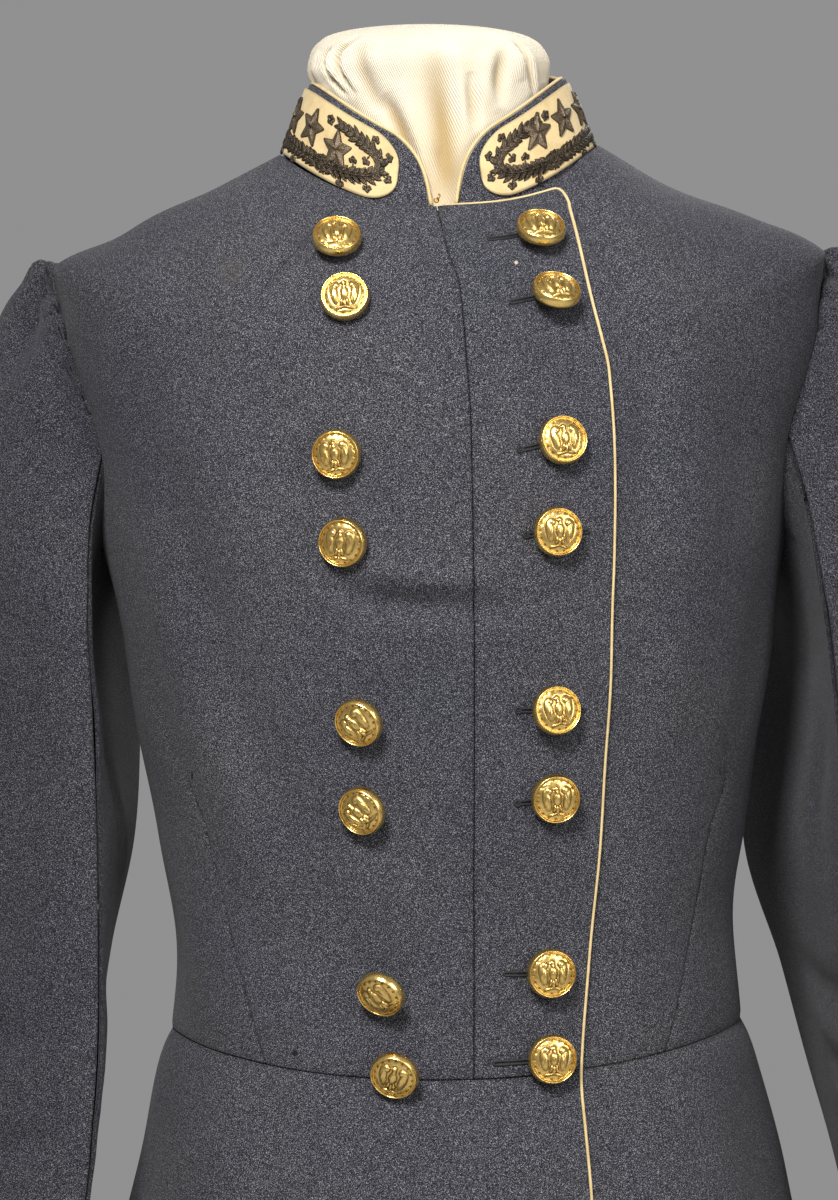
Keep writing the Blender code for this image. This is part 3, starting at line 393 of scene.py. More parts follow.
# each level is a ring: sine of the angle times the half width, cosine times the depth, and a height that
# climbs from front or back to the side
def barePoint(level, angle):
    level, angle = np.broadcast_arrays(np.asarray(level, float), np.asarray(angle, float))
    turn = np.radians(angle)
    side, ahead = np.sin(turn), np.cos(turn)
    swell = 1 + ring("square", level) * np.sin(2 * turn) ** 2
    middle = ring("middle", level)
    reach = np.where(ahead > 0, middle - ring("front", level), ring("back", level) - middle)
    endHeight = np.where(ahead > 0, ring("frontHeight", level), ring("backHeight", level))
    climb = np.abs(side) ** ring("climb", level)
    return np.stack([ring("halfWidth", level) * side * swell, middle - reach * ahead * swell,
                     endHeight + (ring("sideHeight", level) - endHeight) * climb], -1)


def bareNormal(level, angle):
    level, angle = np.broadcast_arrays(np.asarray(level, float), np.asarray(angle, float))
    up = barePoint(np.minimum(level + 0.004, 1), angle) - barePoint(np.maximum(level - 0.004, -1), angle)
    return unit(np.cross(barePoint(level, angle + 0.5) - barePoint(level, angle - 0.5), up))


# skirt folds are humps in angle that grow with the drop below the waist; the chest crease is one trough
def foldOut(level, angle, points):
    drop = np.clip(-np.asarray(level, float), 0, 1)
    roundBack = np.abs((np.asarray(angle, float) + 180) % 360 - 180)
    out = sum(depth * hump(roundBack - at, width) for at, depth, width in coatForm["skirtFolds"])
    crease = coatForm["chestCrease"]
    across = hump(points[..., 0] - crease["across"], crease["halfLength"]) * (roundBack < 90)
    return (out * drop ** 1.3
            - crease["depth"] * across * hump(points[..., 2] - crease["height"], crease["halfWidth"]))


def plainPoint(level, angle, lift=0.0):     # the solid's own surface, without the finer creases
    points = barePoint(level, angle)
    return points + bareNormal(level, angle) * (lift + foldOut(level, angle, points))[..., None]


def levelAt(angle, height):
    low, high = np.full(np.shape(angle), -1.0), np.full(np.shape(angle), 1.0)
    for _ in range(24):
        middle = (low + high) / 2
        below = barePoint(middle, angle)[..., 2] < height
        low, high = np.where(below, middle, low), np.where(below, high, middle)
    return (low + high) / 2


def nearPath(points, path):     # distance to a run of straight pieces, and the share of the run passed there
    step = np.diff(path, axis=0)
    length = np.linalg.norm(step, axis=1)
    before = np.concatenate([[0], np.cumsum(length)])
    best, along = np.full(points.shape[:-1], 1e9), np.zeros(points.shape[:-1])
    for start, way, size, done in zip(path[:-1], step, length, before):
        t = np.clip((points - start) @ way / size ** 2, 0, 1)
        far = np.linalg.norm(points - start - t[..., None] * way, axis=-1)
        along = np.where(far < best, (done + t * size) / before[-1], along)
        best = np.minimum(far, best)
    return best, along


def smoothRun(places, count=14):     # more places on a smooth run through a few
    places = np.array(places, float)
    rows = np.column_stack([np.linspace(0, 1, len(places)), places])
    names = ("t", *range(places.shape[1]))
    at = np.linspace(0, 1, count)
    return np.stack([readTable(names, rows, k, at) for k in range(places.shape[1])], -1)


# a trough is a bell across its path with a low lip on both sides, and fades towards its two ends
def trough(points, path, width, depth, lip=0.25):
    far, along = nearPath(points, path)
    fade = np.sin(np.pi * np.clip(along, 0.001, 0.999)) ** 0.7
    return -depth * fade * (hump(far, width) - lip * hump(far - 2.0 * width, width))


# creases of the body: places as angle and height, half width, depth (a negative depth stands out)
bodyCreases = (
    (((-21, 1.2330), (-11.5, 1.2199), (0.8, 1.2175), (12.5, 1.2135)), 0.0056, 0.0028),
    (((-16, 1.2380), (-4, 1.2300), (10, 1.2280)), 0.0080, -0.0030),
    (((-55, 1.3450), (-52, 1.3070), (-45, 1.2234), (-38, 1.1585), (-27, 1.0758)), 0.014, 0.0038),
    (((8.5, 1.3480), (18.8, 1.3196)), 0.008, -0.0012),
    (((-9, 1.3380), (0.5, 1.3050)), 0.010, -0.0012),
    (((30.8, 1.3550), (33.8, 1.2740), (34.5, 1.2400)), 0.011, 0.0032),
    (((35.5, 1.2200), (37.0, 1.1500)), 0.010, 0.0014),
    (((15.8, 1.2740), (21.5, 1.2680)), 0.003, 0.0008),
    (((27, 1.0546), (42, 1.0537)), 0.005, 0.0007),
    (((48, 1.3500), (55, 1.2900), (52, 1.2200)), 0.012, 0.0016),
    (((-66, 1.2500), (-60, 1.1700), (-52, 1.1100)), 0.010, 0.0012),
    (((70, 1.2300), (62, 1.1500), (56, 1.0900)), 0.011, 0.0014),
    (((-30, 1.1300), (-18, 1.1100), (-8, 1.1050)), 0.010, 0.0008),
    (((128, 1.3300), (140, 1.2500), (150, 1.1700)), 0.013, 0.0020),
    (((-126, 1.3350), (-138, 1.2600), (-152, 1.1500)), 0.014, 0.0018),
    (((150, 1.0900), (172, 1.0750), (-168, 1.0850)), 0.008, 0.0012),
    (((-112, 1.1600), (-128, 1.1050), (-146, 1.0800)), 0.009, 0.0014),
    (((108, 1.1400), (124, 1.0950), (140, 1.0700)), 0.009, 0.0012),
    (((24, 0.9900), (30, 0.9200), (34, 0.8300)), 0.020, 0.0020),
    (((-34, 1.0000), (-40, 0.9300), (-44, 0.8200)), 0.020, 0.0022),
    (((-8, 0.9800), (-4, 0.9000), (-2, 0.7800)), 0.024, 0.0016),
    (((62, 1.0000), (66, 0.9400), (72, 0.8400)), 0.014, 0.0020),
    (((-70, 1.0050), (-74, 0.9300), (-80, 0.8300)), 0.015, 0.0022),
    (((12, 0.7600), (6, 0.6600), (8, 0.5300)), 0.022, 0.0030),
    (((-20, 0.7400), (-26, 0.6400), (-24, 0.5200)), 0.024, 0.0030),
)
waves = ((41, 13, 9, 0.4), (-17, 37, 21, 1.9), (23, -19, 46, 3.1), (-38, 8, -33, 5.0), (9, 52, -28, 2.2),
         (64, -22, 17, 0.9))


def softWaves(points, size=0.00042):     # long sine waves through space, as cloth is nowhere quite smooth
    return size * sum(np.sin(points @ np.array(way[:3], float) * 1.7 + way[3]) for way in waves)


creasePaths = []
for places, width, depth in bodyCreases:
    run = smoothRun(np.column_stack([np.unwrap([place[0] for place in places], period=360),
                                     [place[1] for place in places]]))
    creasePaths.append((barePoint(levelAt(run[:, 0], run[:, 1]), run[:, 0]), width, depth, 0.25))


def bodyPoint(level, angle, lift=0.0):
    points = barePoint(level, angle)
    out = lift + foldOut(level, angle, points) + softWaves(points)
    for path, width, depth, lip in creasePaths:
        low, high = path.min(0) - 4 * width, path.max(0) + 4 * width
        if (points.reshape(-1, 3).min(0) < high).all() and (points.reshape(-1, 3).max(0) > low).all():
            out = out + trough(points, path, width, depth, lip)
    return points + bareNormal(level, angle) * out[..., None]


def halfGap(level, angle):      # half of an upright seam's gap, as degrees round the body
    reach = np.linalg.norm(barePoint(level, angle + 0.5) - barePoint(level, angle - 0.5), axis=-1)
    return clothes["seamGap"] / 2 / reach


def angleAt(level, line):       # the angle at which each level crosses a line given as height and distance
    level = np.asarray(level, float)
    angle = np.full(level.shape, 5.0)
    for _ in range(10):
        height = barePoint(level, angle)[..., 2]
        x = line if np.isscalar(line) else readTable(("height", "across"), line, "across", height)
        swell = 1 + ring("square", level) * np.sin(2 * np.radians(angle)) ** 2
        angle = np.degrees(np.arcsin(np.clip(x / ring("halfWidth", level) / swell, -1, 1)))
    return angle


def frontPlace(height, across):
    level = 0.5
    for _ in range(40):
        angle = float(angleAt(level, across))
        level = min(max(level + 1.5 * (height - float(barePoint(level, angle)[2])), -1.0), 1.0)
    return level, angle


def mirrored(line):
    return tuple((height, -across) for height, across in line)


def edgeAngle(level):
    return angleAt(level, coatForm["frontEdge"])


def tuck(level, angle):      # the under front passes below the upper one
    return -clothes["underDrop"] * ease((edgeAngle(level) + 11 - angle) / 8)


def armhole(turn):
    turn = np.radians(turn)
    return (opening["level"] + opening["halfLevel"] * np.cos(turn),
            opening["angle"] - opening["halfAngle"] * np.sin(turn))


# the shoulder falls a little towards the head of each sleeve
for side in (-1, 1):
    level, angle = armhole(np.linspace(-62, 62, 17))
    creasePaths.append((barePoint(level + 0.012, side * angle), 0.016, 0.0058, 0.0))
    creasePaths.append((barePoint(np.full(15, 0.900), side * np.linspace(66, 132, 15)), 0.026, -0.0032, 0.0))
armholeLow = opening["level"] - opening["halfLevel"]
armholeHigh = opening["level"] + opening["halfLevel"]
waistLevel = clothes["creaseGap"] / 2 / coatForm["skirtLength"]
backSeamTop = opening["level"] + opening["halfLevel"] * math.sin(math.radians(coatForm["backSeamRow"]))
bodyLevels = np.concatenate([
    waistLevel + np.array([0, 0.0012, 0.0030, 0.0060]),
    np.linspace(0.014, armholeLow - 0.008, 62),
    opening["level"] + opening["halfLevel"] * np.sin(np.radians(np.arange(-90, 91, 3.75))),
    np.linspace(armholeHigh + 0.005, 0.994, 34), [0.997, 0.999]])


def armholeSide(level, rear):
    share = np.clip((level - opening["level"]) / opening["halfLevel"], -1, 1)
    reach = opening["halfAngle"] * np.sqrt(1 - share ** 2)
    return opening["angle"] + (reach if rear else -reach)


def shoulderSeam(level):
    share = np.clip((level - armholeHigh) / (1 - armholeHigh), 0, 1)
    return opening["angle"] + (coatForm["shoulderSeamNeck"] - opening["angle"]) * share


def backSeam(level):
    foot, top = coatForm["backSeamFoot"], armholeSide(backSeamTop, True)
    return foot + (top - foot) * np.clip(level / backSeamTop, 0, 1) ** 1.5


def forepartOuter(level):
    return np.where(level <= armholeLow, opening["angle"],
                    np.where(level < armholeHigh, armholeSide(level, False), shoulderSeam(level)))


def backOuter(level):
    return np.where(level < backSeamTop - 1e-6, backSeam(level),
                    np.where(level < armholeHigh, armholeSide(level, True), shoulderSeam(level)))


# each grid's faces, as places in its list of points
def gridFaces(rows, columns, around=False):
    index = np.arange(rows * columns).reshape(rows, columns)
    if around:
        index = np.concatenate([index, index[:, :1]], axis=1)
    return np.stack([index[:-1, :-1], index[:-1, 1:], index[1:, 1:], index[1:, :-1]], -1).reshape(-1, 4)


def closedFaces(rows, columns):      # rings with a flat face over each end
    last = (rows - 1) * columns
    ends = [tuple(range(columns))[::-1], tuple(last + i for i in range(columns))]
    return gridFaces(rows, columns, around=True).tolist() + ends


def joined(parts):      # several meshes as one: each part has points and faces
    faces, count = [], 0
    for points, own in parts:
        faces += [tuple(i + count for i in face) for face in own]
        count += len(points)
    return np.concatenate([points for points, own in parts]), faces


def lathe(profile, around):      # a profile of (radius, height) turned round the upright axis
    return np.array([[(r * math.cos(t), r * math.sin(t), z) for t in around] for r, z in profile])


def putMesh(name, points, faces, surface, marks=None, flat=None, around=0.0):
    mesh = bpy.data.meshes.new(name)
    faces = faces if isinstance(faces, list) else faces.tolist()
    mesh.from_pydata(np.reshape(points, (-1, 3)).tolist(), [], faces)
    if flat is not None:
        corner = np.empty(len(mesh.loops), int)
        mesh.loops.foreach_get("vertex_index", corner)
        spot = np.reshape(flat, (-1, 2))[corner]
        if around:      # the last column's faces run on past the first column
            column, count = corner % flat.shape[1], flat.shape[1]
            face = np.repeat(np.arange(len(mesh.polygons)), [len(poly.vertices) for poly in mesh.polygons])
            ends = np.isin(face, face[column == count - 1]) & (column == 0)
            spot[ends, 0] += around
        mesh.uv_layers.new(name="cut").data.foreach_set("uv", spot.ravel().astype(np.float32))
    for word, values in (marks or {}).items():
        own = mesh.attributes.new(word, "FLOAT", "POINT")
        own.data.foreach_set("value", np.ravel(values).astype(np.float32))
    mesh.materials.append(finish[surface])
    mesh.shade_smooth()
    piece = bpy.data.objects.new(name, mesh)
    bpy.context.scene.collection.objects.link(piece)
    return piece


def dress(piece, surface, *nodes):
    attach(piece, "root")
    if nodes:
        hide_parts(*nodes)
    return piece


def gridArea(points):
    one = np.cross(points[1:, 1:] - points[:-1, :-1], points[1:, :-1] - points[:-1, 1:])
    return float(np.linalg.norm(one, axis=-1).sum() / 2)


# a cloth wall: a grid of points, its cut in metres along rows and columns, and painted shade along its seams
def clothPiece(name, points, node, seams, thickness=clothes["wool"], surface="wool",
               extraShade=None):
    across, along = distances(points, 1), distances(points, 0)
    edges = {"first": across, "last": across[:, -1:] - across, "foot": along, "head": along[-1:] - along}
    near = np.min([edges[word] for word in seams] or [np.full(across.shape, 1.0)], axis=0)
    # the seam mark is painted shade, strongest at the edges
    mark = hump(near, clothes["seamShadeWidth"])
    if extraShade is not None:
        mark = np.maximum(mark, extraShade)
    flat = np.stack([across, along], -1)
    piece = putMesh(name, points, gridFaces(*points.shape[:2]), surface, {"seam": mark}, flat)
    wall = piece.modifiers.new("wall", "SOLIDIFY")
    wall.thickness, wall.offset = thickness, 0
    dress(piece, surface, node)
    width, length, area = float(across[:, -1].max()), float(along[-1].max()), gridArea(points)
    return piece


def fineShares(length, step, fine=(0.0007, 0.0016, 0.0030)):     # even shares, with closer ones at both ends
    count = max(int(round(length / step)), 4)
    ends = np.array(fine) / length
    return np.concatenate([[0], ends, np.linspace(ends[-1], 1 - ends[-1], count)[1:-1], 1 - ends[::-1], [1]])


def seamDip(share, length):     # cloth turns in a little at a seam
    width = clothes["seamWidth"]
    return -clothes["seamDip"] * (hump(share * length, width) + hump((1 - share) * length, width))


def waistDip(distance):
    return -clothes["waistDip"] * hump(distance, clothes["waistWidth"])


# the widths only set how many columns a panel gets, and how wide its dips at the seams are
bodice = {"step": 0.0034, "dartWidth": 0.0010, "dartDepth": 0.0011, "beforeDart": 0.095, "behindDart": 0.085,
          "back": 0.10, "sideBody": 0.09, "sideBodyHeight": 0.22, "seamRun": 0.08}


def dartMark(level, side):
    foot, low, high = coatForm["dartLevels"][side]
    return ease((foot - level) / 0.02) + 0.75 * ease((level - low) / 0.02) * ease((high - level) / 0.012)


def makeForepart(side, hand):
    level = bodyLevels[:, None]
    seamLine = coatForm["lapelSeam"] if side < 0 else mirrored(coatForm["lapelSeam"])
    first = angleAt(bodyLevels, seamLine)
    first = (first + side * halfGap(bodyLevels, first))[:, None]
    last = forepartOuter(bodyLevels)
    last = (side * (last - halfGap(bodyLevels, last)))[:, None]
    dart = angleAt(bodyLevels, coatForm["dart"][side])[:, None]
    one, two = (fineShares(bodice[word], bodice["step"]) for word in ("beforeDart", "behindDart"))
    angle = np.concatenate([first + (dart - first) * one, dart + (last - dart) * two[1:]], axis=1)
    level = np.broadcast_to(level, angle.shape)
    bare = barePoint(level, angle)
    run = distances(bare, 1)
    fromDart = np.abs(run - run[:, len(one) - 1:len(one)])
    groove = hump(fromDart, bodice["dartWidth"]) * dartMark(level, side)
    share = run / run[:, -1:]
    lift = seamDip(share, run[:, -1:]) - bodice["dartDepth"] * groove
    lift = lift + waistDip(distances(bare, 0))
    if side > 0:
        lift = lift + tuck(level, angle)
    # the dart's groove gets painted shade as well
    clothPiece(f"forepart{hand}Cloth", bodyPoint(level, angle, lift), f"forepart_{hand.lower()}", allEdges,
               extraShade=groove)


def makeBack(side, hand):
    first, last = backOuter(bodyLevels), 180 - halfGap(bodyLevels, 180.0)
    first = side * (first + halfGap(bodyLevels, first))
    last = side * last
    share = fineShares(bodice["back"], bodice["step"])[None, :]
    angle = first[:, None] * (1 - share) + last[:, None] * share
    level = np.broadcast_to(bodyLevels[:, None], angle.shape)
    clothPiece(f"back{hand}Cloth", bodyPoint(level, angle, seamDip(share, bodice["seamRun"])),
               f"back_{hand.lower()}", allEdges)


# the panel under the arm: rows run from the waist to the foot of the armhole, which their top row follows
def makeSideBody(side, hand):
    turns = np.linspace(-90, coatForm["backSeamRow"], 36)
    topLevel = opening["level"] + opening["halfLevel"] * np.sin(np.radians(turns))
    topAngle = opening["angle"] + opening["halfAngle"] * np.cos(np.radians(turns))
    across = (topAngle - topAngle[0]) / (topAngle[-1] - topAngle[0])
    fine = fineShares(bodice["sideBody"], bodice["step"])
    topLevel = np.interp(fine, across, topLevel)
    up = fineShares(bodice["sideBodyHeight"], bodice["step"])[:, None]
    level = np.maximum(up * topLevel[None, :], waistLevel)
    front, rear = np.full_like(level, opening["angle"]), backSeam(level)
    front, rear = front + halfGap(level, front), rear - halfGap(level, rear)
    angle = side * (front + (rear - front) * fine[None, :])
    clothPiece(f"sideBody{hand}Cloth", bodyPoint(level, angle, seamDip(fine[None, :], bodice["seamRun"])),
               f"side_body_{hand.lower()}", allEdges)


lapel = {"width": 0.065, "step": 0.0026, "run": 0.062, "cordInset": 0.0045, "cordWidth": 0.0012}


# rise is 0 at the waist and 1 at the top edge, share is 0 at the seam and 1 at the free edge
def lapelPlace(rise, share, side):
    fall = (coatForm["lapelTopFall"] * share ** 2.2
            + coatForm["lapelCornerFall"] * np.clip((share - 0.90) / 0.10, 0, 1) ** 2)
    level = rise - fall * ease((rise - 0.8) / 0.2)
    lines = [coatForm["lapelSeam"], coatForm["frontEdge"]]
    if side > 0:
        lines = [mirrored(line) for line in lines]
    seam = angleAt(level, lines[0])
    seam = seam - side * halfGap(level, seam)
    return level, seam + (angleAt(level, lines[1]) - seam) * share


def makeLapel(side, hand):
    share = fineShares(lapel["width"], lapel["step"])[None, :]
    rise = np.append(bodyLevels[:-2], [0.9975, 0.999])[:, None]
    rise, share = np.broadcast_arrays(rise, share)
    level, angle = lapelPlace(rise, share, side)
    lift = -clothes["seamDip"] * (hump(share * lapel["run"], clothes["seamWidth"])
                                  + hump((1 - share) * lapel["run"] - lapel["cordInset"], lapel["cordWidth"]))
    if side > 0:
        lift = lift + tuck(level, angle)
    clothPiece(f"lapel{hand}Cloth", bodyPoint(level, angle, lift), f"lapel_{hand.lower()}", ("first", "foot"))


# at the vent behind, the right skirt passes below the left one
skirt = {"width": 0.80, "step": 0.0055, "reach": 184.0, "ventFrom": 158, "ventOver": 9}
skirtLevels = -np.concatenate([waistLevel + np.array([0, 0.0012, 0.0030, 0.0060]),
                               np.linspace(0.014, 0.994, 94), [0.998, 1.0]])


def makeSkirt(side, hand):
    level = skirtLevels[:, None]
    edge = -side * edgeAngle(level)
    around = fineShares(skirt["width"], skirt["step"])[None, :]
    angle = edge + (side * skirt["reach"] - edge) * around
    level = np.broadcast_to(level, angle.shape)
    if side > 0:
        drop = tuck(level, angle)
    else:
        drop = -clothes["underDrop"] * ease((-angle - skirt["ventFrom"]) / skirt["ventOver"])
    drop = drop + waistDip((-level - waistLevel) * coatForm["skirtLength"])
    clothPiece(f"skirt{hand}Cloth", bodyPoint(level, angle, drop), f"skirt_{hand.lower()}", ("foot",))


for side, hand in sides:
    makeForepart(side, hand)
    makeBack(side, hand)
    makeSideBody(side, hand)
    makeLapel(side, hand)
    makeSkirt(side, hand)
print("bodice, lapels and skirts made")

# each row of a sleeve: height, tilt, its front and rear crease in plan, and how far it swells out and in
sleeveColumns = ("height", "tilt", "frontX", "frontY", "rearX", "rearY", "out", "into")
sleeves = {
    -1: {"rows": (
            (1.212, 0.030, -0.1655, -0.060, -0.1535, 0.100, 0.074, -0.004),
            (1.170, 0.018, -0.1646, -0.060, -0.1515, 0.098, 0.077, -0.001),
            (1.110, 0.008, -0.1640, -0.062, -0.1615, 0.098, 0.079, 0.008),
            (1.040, 0.000, -0.1648, -0.068, -0.1850, 0.092, 0.073, 0.006),
            (0.970, -0.006, -0.1690, -0.084, -0.2050, 0.070, 0.061, 0.006),
            (0.900, -0.010, -0.1790, -0.104, -0.2200, 0.040, 0.051, 0.009),
            (0.830, -0.012, -0.1930, -0.122, -0.2320, 0.010, 0.043, 0.011),
            (0.765, -0.012, -0.2070, -0.136, -0.2420, -0.016, 0.036, 0.013)),
         # pleats at the head as (place round the arm, share of the head's depth) along each, half width, depth
         "pleats": (
             (((31, 0.020), (35, 0.070), (41, 0.125), (46, 0.200), (46, 0.300), (42, 0.420)), 0.0075, 0.0085),
             (((27, 0.015), (32, 0.050), (37, 0.085)), 0.0030, 0.0040),
             (((39.5, 0.000), (39, 0.030), (36, 0.080)), 0.0017, 0.0052),
             (((46, 0.000), (48.5, 0.035), (46, 0.090)), 0.0018, 0.0058),
             (((57, 0.000), (57, 0.026), (53, 0.070)), 0.0016, 0.0045),
             (((18, 0.000), (19, 0.050), (22, 0.150)), 0.0022, 0.0026),
             (((9, 0.000), (8, 0.060), (6, 0.190)), 0.0028, 0.0034),
             (((-3, 0.000), (-2, 0.060), (2, 0.220)), 0.0026, 0.0030),
             (((-15, 0.000), (-17, 0.100), (-22, 0.380)), 0.0034, 0.0046),
             (((-30, 0.000), (-31, 0.080), (-32, 0.230)), 0.0028, 0.0032),
             (((-46, 0.000), (-48, 0.110), (-47, 0.400)), 0.0034, 0.0046),
             (((-62, 0.000), (-62, 0.080), (-60, 0.260)), 0.0030, 0.0030),
             (((68, 0.010), (66, 0.060), (62, 0.150)), 0.0030, 0.0016)),
         "rolls": ((((-6, 0.060), (14, 0.055), (30, 0.050), (43, 0.044), (55, 0.042), (64, 0.036)),
                    0.0060, 0.0068),
                   (((40, 0.170), (60, 0.160), (80, 0.155), (105, 0.160), (135, 0.170)), 0.0170, 0.0050),
                   (((10, 0.070), (-20, 0.080), (-50, 0.080)), 0.0090, 0.0030),
                   (((56, 0.120), (62, 0.220), (66, 0.400)), 0.0120, 0.0040)),
         "creases": (((72, 1.190), (66, 1.150), (56, 1.085), (44, 1.030)), 0.013, 0.0030)},
    1: {"rows": (
            (1.212, 0.030, 0.1745, -0.056, 0.1535, 0.105, 0.070, -0.006),
            (1.170, 0.018, 0.1792, -0.058, 0.1500, 0.110, 0.074, -0.002),
            (1.110, 0.008, 0.1860, -0.062, 0.1434, 0.112, 0.077, 0.004),
            (1.040, 0.000, 0.1930, -0.070, 0.1625, 0.104, 0.072, 0.006),
            (0.970, -0.006, 0.1990, -0.086, 0.1790, 0.082, 0.061, 0.006),
            (0.900, -0.010, 0.2060, -0.106, 0.1960, 0.052, 0.051, 0.010),
            (0.830, -0.012, 0.2150, -0.124, 0.2110, 0.022, 0.043, 0.011),
            (0.765, -0.012, 0.2240, -0.138, 0.2240, -0.004, 0.036, 0.013)),
        "pleats": (
             (((33, 0.010), (37, 0.090), (42, 0.180), (45, 0.300), (44, 0.420)), 0.0060, 0.0060),
             (((24, 0.000), (26, 0.050), (29, 0.160)), 0.0024, 0.0032),
             (((47, 0.000), (48, 0.040), (50, 0.110)), 0.0018, 0.0034),
             (((57, 0.000), (58, 0.030), (57, 0.080)), 0.0016, 0.0026),
             (((12, 0.000), (13, 0.090), (16, 0.330)), 0.0032, 0.0044),
             (((1, 0.000), (0, 0.060), (-2, 0.200)), 0.0026, 0.0030),
             (((-11, 0.000), (-10, 0.080), (-8, 0.240)), 0.0030, 0.0032),
             (((-24, 0.000), (-25, 0.110), (-29, 0.400)), 0.0036, 0.0048),
             (((-38, 0.000), (-37, 0.070), (-36, 0.200)), 0.0028, 0.0030),
             (((-52, 0.000), (-54, 0.110), (-58, 0.340)), 0.0034, 0.0042),
             (((-67, 0.000), (-67, 0.070), (-66, 0.210)), 0.0030, 0.0026)),
        "rolls": ((((-6, 0.060), (10, 0.055), (28, 0.050), (44, 0.046), (62, 0.040)), 0.0060, 0.0056),
                  (((40, 0.170), (60, 0.160), (80, 0.155), (105, 0.160), (135, 0.170)), 0.0160, 0.0036),
                  (((4, 0.075), (-24, 0.085), (-52, 0.085)), 0.0090, 0.0028),
                  (((54, 0.130), (62, 0.240), (68, 0.400)), 0.0120, 0.0034)),
        "creases": (((-70, 1.180), (-62, 1.130), (-48, 1.080)), 0.012, 0.0030)},
}
sleeveCut = {"startTop": 0.95, "startSide": 0.14, "startUnder": 0.45, "end": 0.55, "columns": 110,
             "width": 0.22, "turnStep": 1.0, "cornerReach": 12, "rings": 96}
headShares = np.concatenate([[0, 0.004, 0.010, 0.017], np.linspace(0.025, 0.23, 27),
                             np.linspace(0.25, 1, 34)[:-1]])
# more creases on both sleeves, as places round the arm and height, half width and depth
armCreases = (
    (((70, 1.080), (20, 1.060), (-30, 1.075)), 0.010, 0.0028),
    (((88, 1.030), (40, 1.020), (0, 1.035)), 0.009, 0.0030),
    (((95, 0.990), (60, 0.975), (20, 0.985)), 0.008, 0.0026),
    (((120, 1.050), (160, 1.030), (200, 1.045)), 0.009, 0.0024),
    (((110, 1.000), (150, 0.985), (190, 1.000)), 0.008, 0.0024),
    (((30, 0.960), (-20, 0.900), (-50, 0.860)), 0.011, 0.0020),
    (((-60, 1.120), (-75, 1.040), (-60, 0.960)), 0.012, 0.0024),
    (((10, 1.210), (4, 1.150), (12, 1.100)), 0.014, 0.0018),
    (((60, 0.920), (66, 0.860), (58, 0.800)), 0.010, 0.0014),
    (((140, 1.180), (150, 1.130), (140, 1.090)), 0.010, 0.0016),
)


# one ring of a sleeve: two bows between the front and the rear crease, the outer one tilted upwards
def sleeveSection(rows, side, height, turn):
    value = {name: readTable(sleeveColumns, rows, name, height) for name in sleeveColumns[1:]}
    turn = np.radians(turn)
    front, rear = np.array([value["frontX"], value["frontY"]]), np.array([value["rearX"], value["rearY"]])
    outward = unit(np.array([front[1] - rear[1], rear[0] - front[0]])) * -side
    swell = np.where(np.cos(turn) > 0, value["out"], -value["into"]) * np.abs(np.cos(turn))
    plan = (front + rear) / 2 + np.sin(turn)[:, None] * (front - rear) / 2 + swell[:, None] * outward
    return np.column_stack([plan, height + value["tilt"] * np.cos(turn)])


# the head of a sleeve runs as a cubic from the armhole, out along the body's normal, to the first ring
def sleeveLoop(side):
    cut = sleeves[side]
    turn = np.arange(-90.0, 270.5, sleeveCut["turnStep"])
    level, angle = armhole(turn)
    out = bareNormal(level, side * angle)
    start = bodyPoint(level, side * angle, 0.0004)
    rows = cut["rows"]
    first = sleeveSection(rows, side, rows[0][0], turn)
    span = np.linalg.norm(first - start, axis=1, keepdims=True)
    down = unit(sleeveSection(rows, side, rows[1][0], turn) - first) * span
    away = unit((first - first.mean(axis=0)) * [1, 1, 0])
    upward = np.cos(np.radians(turn))
    begin = sleeveCut["startSide"] + np.where(
        upward > 0, (sleeveCut["startTop"] - sleeveCut["startSide"]) * np.abs(upward) ** 0.7,
        (sleeveCut["startUnder"] - sleeveCut["startSide"]) * np.abs(upward) ** 0.5)
    t = headShares[:, None, None]
    loop = ((1 + 2 * t) * (1 - t) ** 2 * start + t * (1 - t) ** 2 * begin[:, None] * span * out
            + t * t * (3 - 2 * t) * first - t * t * (1 - t) * sleeveCut["end"] * down)
    rings = [sleeveSection(rows, side, height, turn)
             for height in np.linspace(rows[0][0], rows[-1][0], sleeveCut["rings"])]
    loop = np.concatenate([loop, rings])[:, :-1]
    head = loop[:len(headShares)]
    lift = np.zeros(head.shape[:2])
    for pleats, sign in ((cut["rolls"], 1), (cut["pleats"], -1)):
        for places, width, depth in pleats:
            run = smoothRun(places)
            row = np.interp(run[:, 1], headShares, np.arange(len(head)))
            path = gridPlace(head, row, (run[:, 0] + 90) / sleeveCut["turnStep"])
            lift += sign * depth * pleatShape(head, path, width, sign < 0)
    lift *= ease(headShares / 0.02)[:, None]
    loop[:len(head)] += loopNormals(loop, away[:-1])[:len(head)] * lift[..., None]
    return loop, away[:-1]


def gridPlace(grid, row, column):     # places between a grid's points
    i = np.minimum(np.floor(row).astype(int), grid.shape[0] - 2)
    j = np.minimum(np.floor(column).astype(int), grid.shape[1] - 2)
    a, b = (row - i)[:, None], (column - j)[:, None]
    return ((grid[i, j] * (1 - b) + grid[i, j + 1] * b) * (1 - a)
            + (grid[i + 1, j] * (1 - b) + grid[i + 1, j + 1] * b) * a)


# a pleat is a bell across its path, full at the seam and fading towards its far end; a roll fades at both ends
def pleatShape(points, path, width, fromSeam):
    shape = np.zeros(points.shape[:2])
    near = (points > path.min(0) - 4 * width).all(-1) & (points < path.max(0) + 4 * width).all(-1)
    far, along = nearPath(points[near], path)
    fade = 1 - ease((along - 0.35) / 0.65) if fromSeam else np.sin(np.pi * np.clip(along, 0.001, 0.999)) ** 0.6
    shape[near] = fade * (hump(far, width) - (0.22 * hump(far - 2.1 * width, width) if fromSeam else 0))
    return shape


def loopNormals(loop, away):     # outward normals of rings that close round themselves
    normal = unit(np.cross(np.roll(loop, -1, 1) - np.roll(loop, 1, 1), np.gradient(loop, axis=0)))
    return normal * np.sign((normal * away).sum(-1).mean())


